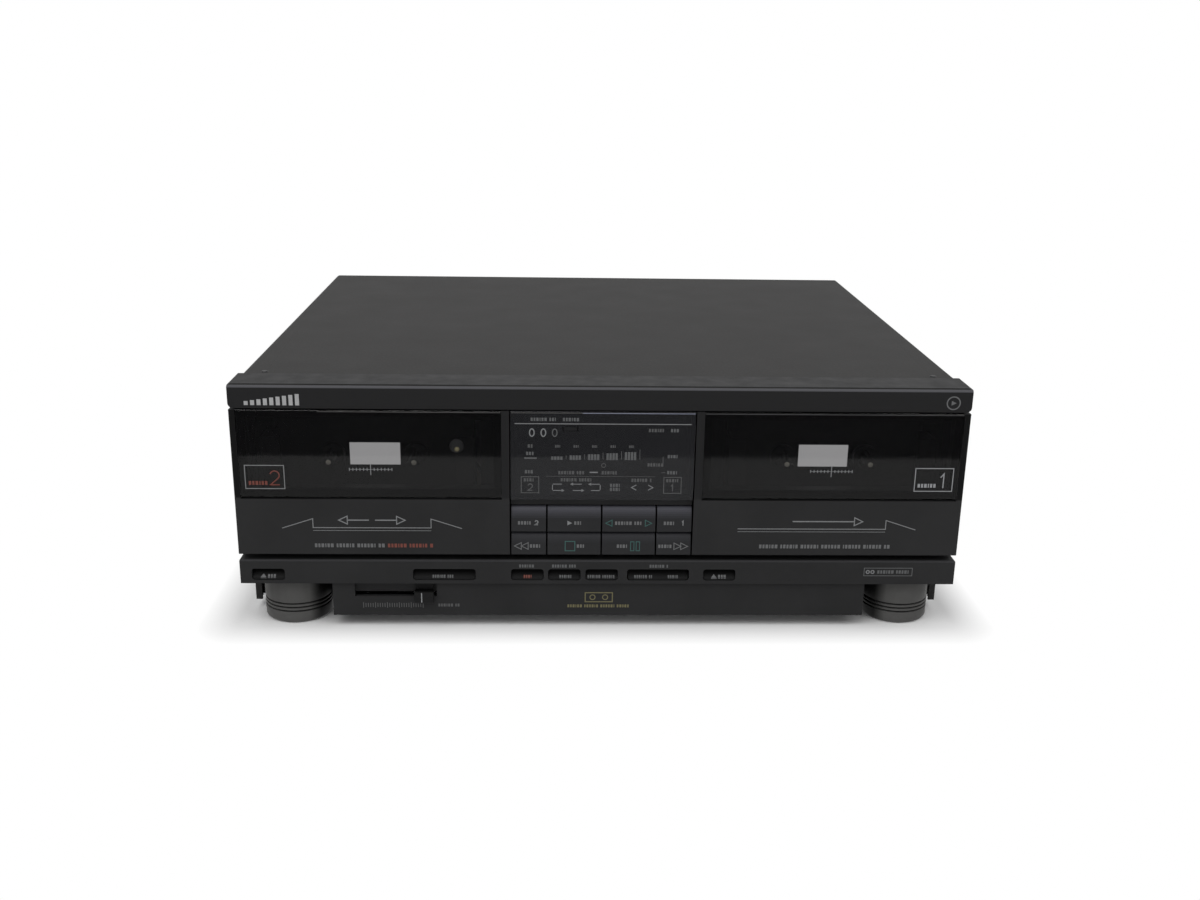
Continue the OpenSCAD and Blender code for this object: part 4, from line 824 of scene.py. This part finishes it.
# Scale under the reels: a line with ticks, the middle one longer
SCALE_X = 113.0
SCALE_TICKS = 13
SCALE_PITCH = 1.72
SCALE_TICK_W = 0.4
SCALE_TICK = (83.65, 85.15, SCALE_TICK_W)
SCALE_MIDDLE = (81.5, 87.3, SCALE_TICK_W)
SCALE_LINE = (84.4, 0.24)
# Painted highlight along the top edges of the clear sheets: its heights, and its ends on each window
EDGE_Z = (113.3, 113.65)
WINDOW_HIGHLIGHTS = (("b", -137.6, -49.8, WARM_HIGHLIGHT), ("a", 49.8, 176.4, DIM_HIGHLIGHT))


def window_signs():
    def sign(letter, kind, colour, curved=False):
        node, body = "door_window_" + letter, "tilting_door_" + letter
        return Print(f"window_{letter}_{kind}", node, body, colour, curved)

    for letter, side, number, colour, border in (("b", -1, 2, RED, PALE), ("a", 1, 1, BRIGHT, BRIGHT)):
        x0, x1 = sorted(side * x for x in LABEL_X)
        sign(letter, "border", border).frame_line(x0, x1, *LABEL)
        scale = sign(letter, "scale", PALE)
        for i in range(SCALE_TICKS):
            x = side * SCALE_X + (i - SCALE_TICKS // 2) * SCALE_PITCH
            scale.post(x, *(SCALE_MIDDLE if i == SCALE_TICKS // 2 else SCALE_TICK))
            if i:
                scale.line(x - SCALE_PITCH + SCALE_TICK_W / 2, x - SCALE_TICK_W / 2, *SCALE_LINE)
        label = sign(letter, "number", colour)
        label.dashes(*LABEL_PRINT, shift=x0)
        label.figure(number, x1 - NUMBER_IN, *NUMBER)
    # Painted highlights along the windows' top edges
    for letter, x0, x1, colour in WINDOW_HIGHLIGHTS:
        sign(letter, "edge", colour, curved=True).bar(x0, x1, *EDGE_Z)


# Display's window: a line under its heading, and a painted highlight along its top edge in two parts
DISPLAY_LINE = (-42.9, 42.9, 108.1, 0.44)
DISPLAY_HIGHLIGHTS = (("highlight_left", -44.7, -10, WARM_HIGHLIGHT), ("highlight_right", -10, 44.7, BLUE_HIGHLIGHT))
# Counter figures, the last one dimmer, and a short bar
COUNTER_X = (-34.6, -29.0)
COUNTER = (101.7, 3.8, 0.55)
DIM_COUNTER = (-23.5, 101.7, 3.8, 0.5)
READY_MARK = (-6.3, -2.3, 83.1, 83.7)
# Level meter: groups of bars that rise to the right, with a label over and a line after each.
# Tops are the first group's and the rise to the next
METER_X0 = -25.2
METER_GROUPS = 5
METER_PITCH = 9.0
METER_BARS = 4
METER_BAR_PITCH = 1.475
METER_BAR_W = 1.125
METER_Z = 89.8
METER_TOPS = (91.5, 0.6)
METER_LABEL = (1.9, 4.4, 96.7, 1.3)
METER_LINE = 0.3
METER_LINE_X = 7.35
METER_LINE_Z = 90.1
METER_LINE_TOPS = (92.0, 0.8)
# Tape-way loops: their middles, and the end that is closed (-1 left, 1 right, 0 neither)
TAPE_WAYS = ((-22.1, -1), (-12.3, 0), (-3.4, 1))
# Heights and ways of a loop's lines
WAY_LINES = ((77.25, -1), (73.95, 1))
WAY_HALF = 2.2
WAY_LINE = 0.36
WAY_TIP_OUT = 2.8
WAY_TIP = 0.75
WAY_END_OUT = 2.4
WAY_END = (74.3, 76.9, WAY_LINE)
# Chevrons to the left and right, by their points
CHEVRONS = (((16.8, 76.95), (14.4, 75.6), (16.8, 74.25)), ((22.6, 76.95), (25, 75.6), (22.6, 74.25)))
CHEVRON_LINE = 0.4
# Small print: its ends and its height
DISPLAY_PRINT_H = 1.7
DISPLAY_PRINT = (
    (-35.2, -23, 110.3), (-19.6, -11.4, 110.3), (33, 36.8, 105), (-37.4, -33.8, 93), (-38, -33.3, 83.6),
    (31.8, 36.8, 91.7), (31.8, 36.6, 83.4), (3.8, 9, 76.7), (3.8, 9, 74.6),
)
FAINT_PRINT = (
    (22.2, 29.6, 105), (-36.6, -34.3, 96.8), (22, 31.4, 87.4), (-21.7, -8.6, 83.2), (-0.4, 7, 83.2),
    (-20.5, -4.6, 79.5), (14.3, 25, 79.4), (-38.6, -33, 79.4), (31.5, 37.4, 79.3),
)
# Thin lines by their ends along X and Z, and a spot
PRINT_UNDERLINE = (-38.3, -32.2, 90.2, 91)
FAINT_LINES = ((-27.7, 26, 81.2, 81.4), (29, 31, 83.2, 83.5), (29.4, 29.7, 87.9, 91.6))
SPOT = (0.5, 87, 1, 0.3)
# Framed deck numbers: the number, its place and the frame's ends
DECK_FRAMES = ((2, -35.4, -39.8, -31.2), (1, 34.7, 30.3, 38.9))
DECK_FRAME = (72.7, 81, 0.4)
DECK_NUMBER = (73.7, 3.6, 0.5)


def display_signs():
    def sign(name, colour, curved=False):
        return Print("display_" + name, "display_window", "cabinet", colour, curved)

    line = sign("line", PALE)
    line.line(*DISPLAY_LINE)
    for x in COUNTER_X:
        line.figure(0, x, *COUNTER)
    line.bar(*READY_MARK)
    # Painted highlight along the window's top edge
    for name, x0, x1, colour in DISPLAY_HIGHLIGHTS:
        sign(name, colour, curved=True).bar(x0, x1, *EDGE_Z)
    groups = [METER_X0 + i * METER_PITCH for i in range(METER_GROUPS)]
    small = sign("small_print", DIM)
    for place in DISPLAY_PRINT:
        small.dashes(*place, DISPLAY_PRINT_H)
    small.bar(*PRINT_UNDERLINE)
    small.figure(0, *DIM_COUNTER)
    for i, group in enumerate(groups):
        for x in (group + k * METER_BAR_PITCH for k in range(METER_BARS)):
            small.bar(x, x + METER_BAR_W, METER_Z, METER_TOPS[0] + METER_TOPS[1] * i)
    ways = sign("tape_ways", PALE)
    for x, closed in TAPE_WAYS:
        for z, way in WAY_LINES:
            ways.line(x - WAY_HALF, x + WAY_HALF, z, WAY_LINE)
            if way != closed:
                ways.pointer(way, x + way * WAY_TIP_OUT, z, WAY_TIP)
        if closed:
            ways.post(x + closed * WAY_END_OUT, *WAY_END)
    for points in CHEVRONS:
        ways.stroke(points, CHEVRON_LINE)
    faint = sign("faint_print", FAINT)
    for place in FAINT_PRINT:
        faint.dashes(*place, DISPLAY_PRINT_H)
    for i, x in enumerate(groups):
        top = METER_LINE_TOPS[0] + METER_LINE_TOPS[1] * i
        faint.dashes(*METER_LABEL, shift=x)
        faint.post(x + METER_LINE_X, METER_LINE_Z, top, METER_LINE)
    for ends in FAINT_LINES:
        faint.bar(*ends)
    faint.ring(*SPOT)
    for number, x, x0, x1 in DECK_FRAMES:
        faint.frame_line(x0, x1, *DECK_FRAME)
        faint.figure(number, x, *DECK_NUMBER)


# Height of a key's signs over its lower edge
KEY_SIGN_UP = 4.7
# Small print on the keys: the node and its ends
KEY_PRINT_H = 1.8
KEY_PRINT = (
    ("key_deck_b", -41.5, -35.2), ("key_play", -13.6, -10.2), ("key_direction", 6.7, 19.8),
    ("key_deck_a", 31, 37), ("key_rewind", -35.6, -30), ("key_stop", -12.2, -8.6),
    ("key_pause", 7.8, 13.6), ("key_forward", 28.6, 35.3),
)
# Numbers: the node, the place and the number
KEY_NUMBERS = (("key_deck_b", -32.3, 2), ("key_deck_a", 40.6, 1))
KEY_NUMBER_DOWN = 1.2
KEY_NUMBER = (2.4, 0.5)
# Arrows: the node, its ink, their ways and places, half their height, and their line if not filled
KEY_ARROWS = (
    ("key_play", PALE, ((1, -15.8),), 1.2, None),
    ("key_direction", TEAL, ((-1, 3.6), (1, 23.4)), 1.6, 0.4),
    ("key_rewind", KEY_INK, ((-1, -41.6), (-1, -38.2)), 1.75, 0.4),
    ("key_forward", KEY_INK, ((1, 38.2), (1, 41.6)), 1.75, 0.4),
)
# Frames: the node, their ends, their heights from the signs' middle, and their line
KEY_FRAMES = (("key_stop", ((-18, -13.2),), (-2.5, 2.4), 0.45),
              ("key_pause", ((14.7, 16.4), (17.5, 19.2)), (-2.4, 2.3), 0.4))


def key_sign(node, colour, kind="print"):
    return Print(f"{node}_{kind}", node, node + "_body", colour, curved=True)


def key_signs():
    def height(node):
        return box_mm(node)[0].z + KEY_SIGN_UP

    for node, x0, x1 in KEY_PRINT:
        key_sign(node, KEY_INK, "small_print").dashes(x0, x1, height(node), KEY_PRINT_H)
    for node, x, number in KEY_NUMBERS:
        key_sign(node, PALE).figure(number, x, height(node) - KEY_NUMBER_DOWN, *KEY_NUMBER)
    for node, colour, places, half, line in KEY_ARROWS:
        arrows = key_sign(node, colour)
        for way, x in places:
            arrows.pointer(way, x, height(node), half, line)
    for node, places, (low, high), line in KEY_FRAMES:
        frames = key_sign(node, TEAL)
        for x0, x1 in places:
            frames.frame_line(x0, x1, height(node) + low, height(node) + high, line)


# Eject buttons: a triangle over a bar, left of the middle, and small print after them
EJECT_LEFT = 2.6
EJECT_HALF = 1.4
EJECT_TRIANGLE_Z = (27.0, 28.4)
EJECT_BAR_Z = (26.35, 26.7)
EJECT_PRINT = (2.2, 6.8, 27.3, 1.7)
# Small print on the other buttons: the node, its ink and its ends
BUTTONS = (
    ("noise_button", DIM, ((-84.5, -73.5),)), ("record_button", RED, ((-38.8, -34.4),)),
    ("mode_button", DIM, ((-20.8, -14.8),)), ("synchro_button", DIM, ((-6.6, 7.4),)),
    ("dubbing_rocker", DIM, ((17, 26), (34, 39.6))),
)
BUTTON_PRINT = (27.3, 1.4)


def button_signs():
    for node in ("eject_button_b", "eject_button_a"):
        low, high = box_mm(node)
        x = (low.x + high.x) / 2 - EJECT_LEFT
        left, right = x - EJECT_HALF, x + EJECT_HALF
        heel, tip = EJECT_TRIANGLE_Z
        eject = key_sign(node, KEY_INK)
        eject.area([(left, heel), (right, heel), (x, tip)])
        eject.bar(left, right, *EJECT_BAR_Z)
        eject.dashes(*EJECT_PRINT, shift=x)
    for node, colour, places in BUTTONS:
        small = key_sign(node, colour)
        for x0, x1 in places:
            small.dashes(x0, x1, *BUTTON_PRINT)


# Small print over the strip's buttons, and a framed sign with two rings
STRIP_PRINT_X = ((-41, -33), (-24.5, -12.6), (24.6, 34.4))
STRIP_PRINT = (33.4, 1.6)
BADGE_FRAME = (133.7, 158.3, 28.4, 32.6, 0.35)
BADGE_PRINT = (140.5, 156.8, 30.5, 1.8)
BADGE_RINGS_X = (135.6, 138)
BADGE_RING = (30.5, 0.8, 0.5)
# Scale under the slider: every fifth tick is longer
SLIDER_TICKS = 26
SLIDER_X = (-119.7, -89.7)
SLIDER_TICK = (10.2, 12.4, 0.4)
SLIDER_FIFTH = (9.8, 12.8, 0.4)
SLIDER_PRINT = (-82, -71, 11.3, 1.6)
# Light line on the slider's knob, from its left side and lower edge
KNOB_LINE_IN = 3.7
KNOB_LINE_Z = (0.7, 5.8)
KNOB_LINE = 0.5
# A cassette with its two reels, over a row of small print
GOLD_PRINT = (-16.6, 15.2, 10.9, 1.6)
CASSETTE = (-7.6, 6.2, 13.2, 18.2, 0.55)
REELS_X = (-3.9, 2.5)
REEL = (15.7, 1.3, 0.5)
# Rising level bars on the hood, and an arrow in a ring
LEVEL_BARS = 9
LEVEL_X0 = -172.2
LEVEL_PITCH = 3.05
LEVEL_W = 1.9
LEVEL_Z = 116.3
LEVEL_HEIGHT = (2, 0.45)
EMBLEM_RING = (170.7, 119.5, 3.2, 0.6)
EMBLEM_ARROW = (1, 170.9, 119.5, 1.2)


def panel_signs():
    def sign(name, colour):
        return Print(name, "front_panel", "cabinet", colour)

    strip = sign("strip_print", DIM)
    for x0, x1 in STRIP_PRINT_X:
        strip.dashes(x0, x1, *STRIP_PRINT)
    strip.frame_line(*BADGE_FRAME)
    strip.dashes(*BADGE_PRINT)
    badge = sign("strip_badge", PALE)
    for x in BADGE_RINGS_X:
        badge.ring(x, *BADGE_RING)
    scale = sign("slider_scale", FAINT)
    step = (SLIDER_X[1] - SLIDER_X[0]) / (SLIDER_TICKS - 1)
    for i in range(SLIDER_TICKS):
        scale.post(SLIDER_X[0] + i * step, *(SLIDER_TICK if i % 5 else SLIDER_FIFTH))
    scale.dashes(*SLIDER_PRINT)
    gold = sign("plinth_gold_print", GOLD)
    gold.dashes(*GOLD_PRINT)
    gold.frame_line(*CASSETTE)
    for x in REELS_X:
        gold.ring(x, *REEL)
    bars = sign("hood_level_bars", HOOD_INK)
    for i in range(LEVEL_BARS):
        x = LEVEL_X0 + i * LEVEL_PITCH
        bars.bar(x, x + LEVEL_W, LEVEL_Z, LEVEL_Z + LEVEL_HEIGHT[0] + LEVEL_HEIGHT[1] * i)
    emblem = sign("hood_ring", KEY_INK)
    emblem.ring(*EMBLEM_RING)
    emblem.pointer(*EMBLEM_ARROW)
    low = box_mm("level_slider_knob")[0]
    line = Print("level_slider_line", "level_slider_knob", "level_slider_body", BRIGHT)
    line.post(low.x + KNOB_LINE_IN, *(low.z + z for z in KNOB_LINE_Z), KNOB_LINE)


# Small fittings

# How deep a fitting sits in what carries it
SEATED = 0.05
# Painted shadow line along the hood's top: a dark strip, in from its ends
SHADOW_LINE_Y = (1.6, 3.9)
SHADOW_LINE_IN = 0.8
SHADOW_LINE_HALF_H = 0.02
# Dark lips by the side walls that paint the shade in the gap behind the doors, in from the panel's sides,
# from just behind the doors to the inner wall
LIP_IN = (1.8, 0.1)
LIP_Z = (60.0, 114.0)
LIP_CLEAR = 0.3
WELL_Y = 10.0
SPINDLES = ("left_spindle_b", "right_spindle_b", "left_spindle_a", "right_spindle_a")
# Radius and height of their bright tips, whose emission paints a glint
TIP = (1.3, 0.9)
# A grey stud with a brass pin in it, on the left holder, the pin glowing with a painted glint: X, Z,
# radius and height of each
STUD = (-71.7, 94.1, 3.6, 1.6)
PIN = (-71.5, 92.9, 1.5, 2.6)


def fittings():
    """Trim and small parts that show in front, among them dark strips that paint shade and ends with
    painted glints.
    """
    low, high = box_mm("front_panel")
    # A dark strip that paints a shadow line on the hood's top, behind its front edge
    dark_strip = moulded("painted_shadow_line", grey(0.026), 0.9, shine=0.0)
    block("hood_shadow_line", (low.x + SHADOW_LINE_IN, SHADOW_LINE_Y[0], high.z - SHADOW_LINE_HALF_H),
          (high.x - SHADOW_LINE_IN, SHADOW_LINE_Y[1], high.z + SHADOW_LINE_HALF_H), "cabinet", dark_strip)
    # Dark lips close the gap behind each door's outer end: painted shade where the gap lies in shade
    lip_y = (box_mm("door_a")[1].y + LIP_CLEAR, WELL_Y + SEATED)
    for letter, side in (("b", -1), ("a", 1)):
        x0, x1 = sorted(side * (high.x - inset) for inset in LIP_IN)
        block("side_shade_lip_" + letter, (x0, lip_y[0], LIP_Z[0]), (x1, lip_y[1], LIP_Z[1]), "cabinet",
              LOOKS["holder_plastic"])
    # Spindle tips with a painted glint
    steel = glowing_tip("tip_steel_glow", (1.0, 0.95, 0.82), 0.13)
    for node in SPINDLES:
        low, high = box_mm(node)
        place = ((low.x + high.x) / 2, low.y + SEATED, (low.z + high.z) / 2)
        dome(node + "_tip", place, *TIP, node + "_body", steel)
    stud = moulded("grey_stud", (0.24, 0.24, 0.25), worn=1.2, shine=0.2)
    brass = glowing_tip("pin_brass_glow", (1.0, 0.9, 0.55), 0.26)
    seat = box_mm("cassette_holder_b")[0].y + SEATED
    for name, (x, z, radius, height), look in (("stud", STUD, stud), ("pin", PIN, brass)):
        dome("holder_b_" + name, (x, seat, z), radius, height, "tilting_door_b", look)


# Sockets on the rear panel: middle of the four, their pitch, and the plate that holds them
SOCKET_X = 118.0
SOCKET_Z = 43.8
SOCKET_PITCH = 14.0
SOCKET_R = 4.2
SOCKET_PLATE = 2
PLATE_Y = box_mm("rear_panel")[1].y + SOCKET_PLATE
COLLAR_W = 1.4
COLLAR_Y = (PLATE_Y - 0.1, PLATE_Y + 1.1)
# Radius of the screw, and its height to the back
SCREW = (2.4, -1.0)
# Print over the sockets, an arrow over each pair and a frame round them all
REAR_PRINT = (-4.5, 4.5, 61.5, 2)
REAR_ARROW = (66, 1.6, 0.5)
REAR_FRAME = (SOCKET_X - 16, SOCKET_X + 16, 27, 70, 0.5)


def rear_fittings():
    """Collars round the sockets, a screw among them, and the signs over them."""
    red = moulded("red_collar", (0.35, 0.02, 0.02), 0.4)
    white = moulded("white_collar", (0.55, 0.55, 0.53), 0.4)
    half = SOCKET_PITCH / 2
    low_y, high_y = COLLAR_Y
    outer = SOCKET_R + COLLAR_W
    ring = [(SOCKET_R, low_y), (outer, low_y), (outer, high_y), (SOCKET_R, high_y)]
    for side, x in (("left", SOCKET_X + half), ("right", SOCKET_X - half)):
        for kind, z, look in (("upper", SOCKET_Z + half, white), ("lower", SOCKET_Z - half, red)):
            turned(f"{side}_{kind}_collar", x, z, ring, "cabinet", look, loop=True)
    place = (SOCKET_X, PLATE_Y - SEATED, SOCKET_Z)
    dome("socket_plate_screw", place, *SCREW, "cabinet", LOOKS["pin_steel"])
    signs = Print("rear_print", "rear_panel", "cabinet", KEY_INK, back=True)
    for x in (SOCKET_X - half, SOCKET_X + half):
        signs.dashes(*REAR_PRINT, shift=x)
        signs.pointer(1, x, *REAR_ARROW)
    signs.frame_line(*REAR_FRAME)


# Stage and light, in metres

FLOOR_HALF = 4.0
FLOOR_Z = -0.0001
# Half the cabinet's outline on the floor, and the distances over which its shadow fades to white
FOOTPRINT = (0.18, 0.155, 1.0)
SHADOW_FADE = (0.004, 0.024)
# Card that only mirrors show: its reach, its edge before the front, and its height
CARD_REACH = 1.6
CARD_EDGE = 0.2765
CARD_Z = 0.002
WHITE = grey(1.0)
LIGHT_LEVEL = 0.55
# Softboxes that aim at the cabinet: place, size and power
AIM = (0, 0, 0.05)
SOFTBOXES = (("key_softbox", (-0.6, -0.7, 1.3), 1.2, 9), ("fill_softbox", (0.9, -0.5, 1.1), 1.0, 5))


def sheet(name, x, y, z, look):
    """A flat stage sheet over two spans."""
    mesh = bpy.data.meshes.new(name)
    corners = [(x[0], y[0], z), (x[1], y[0], z), (x[1], y[1], z), (x[0], y[1], z)]
    mesh.from_pydata(corners, [], [(0, 1, 2, 3)])
    mesh.materials.append(look.material)
    made = placed(name, mesh)
    return made


def floor():
    """Pale floor that is white to the eye and keeps the object's shadow near it."""
    look = Look("pale_floor")
    look.tree.nodes.remove(look.shader)
    diffuse = look.node("BsdfDiffuse", {"Color": grey(0.85)})
    glow = look.node("Emission", {"Color": WHITE, "Strength": 1.0})
    # Share of white for the eye, by the distance outside the cabinet's outline
    spread = look.node("VectorMath", {0: look.place}, operation="ABSOLUTE").outputs[0]
    outside = look.node("VectorMath", {0: spread, 1: FOOTPRINT}, operation="SUBTRACT").outputs[0]
    outside = look.node("VectorMath", {0: outside, 1: (0, 0, 0)}, operation="MAXIMUM").outputs[0]
    away = look.node("VectorMath", {0: outside}, operation="LENGTH").outputs["Value"]
    path = look.node("LightPath").outputs
    eye = look.times(path["Is Camera Ray"], look.level(away, 0, 1, *SHADOW_FADE))
    seen = look.chain("MAXIMUM", eye, path["Is Glossy Ray"], path["Is Transmission Ray"])
    look.surface(seen, diffuse, glow)
    span = (-FLOOR_HALF, FLOOR_HALF)
    sheet("floor", span, span, FLOOR_Z, look)


def dark_card():
    """A dark card in front of the cabinet, which only mirrors show."""
    look = Look("dark_card")
    look.shade({"Base Color": (0.17, 0.17, 0.18), "Roughness": 0.9})
    edge = FRONT_Y - CARD_EDGE
    card = sheet("dark_card", (-CARD_REACH, CARD_REACH), (edge - CARD_REACH, edge), CARD_Z, look)
    card.visible_camera = False
    card.visible_diffuse = False
    card.visible_shadow = False


def world():
    """Even light, which the camera, mirrors and glass see as white."""
    made = bpy.data.worlds.new("studio")
    bpy.context.scene.world = made
    nodes = Nodes(made)
    nodes.tree.nodes.remove(nodes.tree.nodes["Background"])
    light = nodes.node("Background", {"Color": WHITE, "Strength": LIGHT_LEVEL})
    white = nodes.node("Background", {"Color": WHITE, "Strength": 1.0})
    path = nodes.node("LightPath").outputs
    rays = (path[kind] for kind in ("Is Camera Ray", "Is Glossy Ray", "Is Transmission Ray"))
    nodes.surface(nodes.chain("MAXIMUM", *rays), light, white)


def softbox(name, place, size, power):
    data = bpy.data.lights.new(name, "AREA")
    data.shape = "SQUARE"
    data.size = size
    data.energy = power
    lamp = placed(name, data)
    lamp.location = place
    lamp.rotation_euler = (Vector(AIM) - Vector(place)).to_track_quat("-Z", "Y").to_euler()


# The camera that took the photograph: its place in millimetres and its lens in pixels
PHOTO_W = 1200
FOCAL_PX = 1262.5
EYE = (-23.14, -587.32, 280.69)
PITCH = radians(17.563)
YAW = radians(2.123)
ROLL = radians(0.941)
SENSOR = 36.0
CLIP_START = 0.01


def camera():
    data = bpy.data.cameras.new("photo_camera")
    data.sensor_width = SENSOR
    data.lens = FOCAL_PX / PHOTO_W * SENSOR
    data.clip_start = CLIP_START
    ahead = Vector((sin(YAW) * cos(PITCH), cos(YAW) * cos(PITCH), -sin(PITCH)))
    level = Vector((cos(YAW), -sin(YAW), 0))
    upright = level.cross(ahead)
    right = level * cos(ROLL) + upright * sin(ROLL)
    up = upright * cos(ROLL) - level * sin(ROLL)
    made = placed("photo_camera", data)
    turn = Matrix((right, up, -ahead)).transposed().to_4x4()
    made.matrix_world = Matrix.Translation(at(*EYE)) @ turn
    bpy.context.scene.camera = made


dress_frame()
door_signs()
window_signs()
display_signs()
key_signs()
button_signs()
panel_signs()
print_pieces()
fittings()
rear_fittings()
print_pieces()
floor()
dark_card()
world()
for values in SOFTBOXES:
    softbox(*values)
camera()

bpy.context.scene.view_settings.view_transform = "Standard"
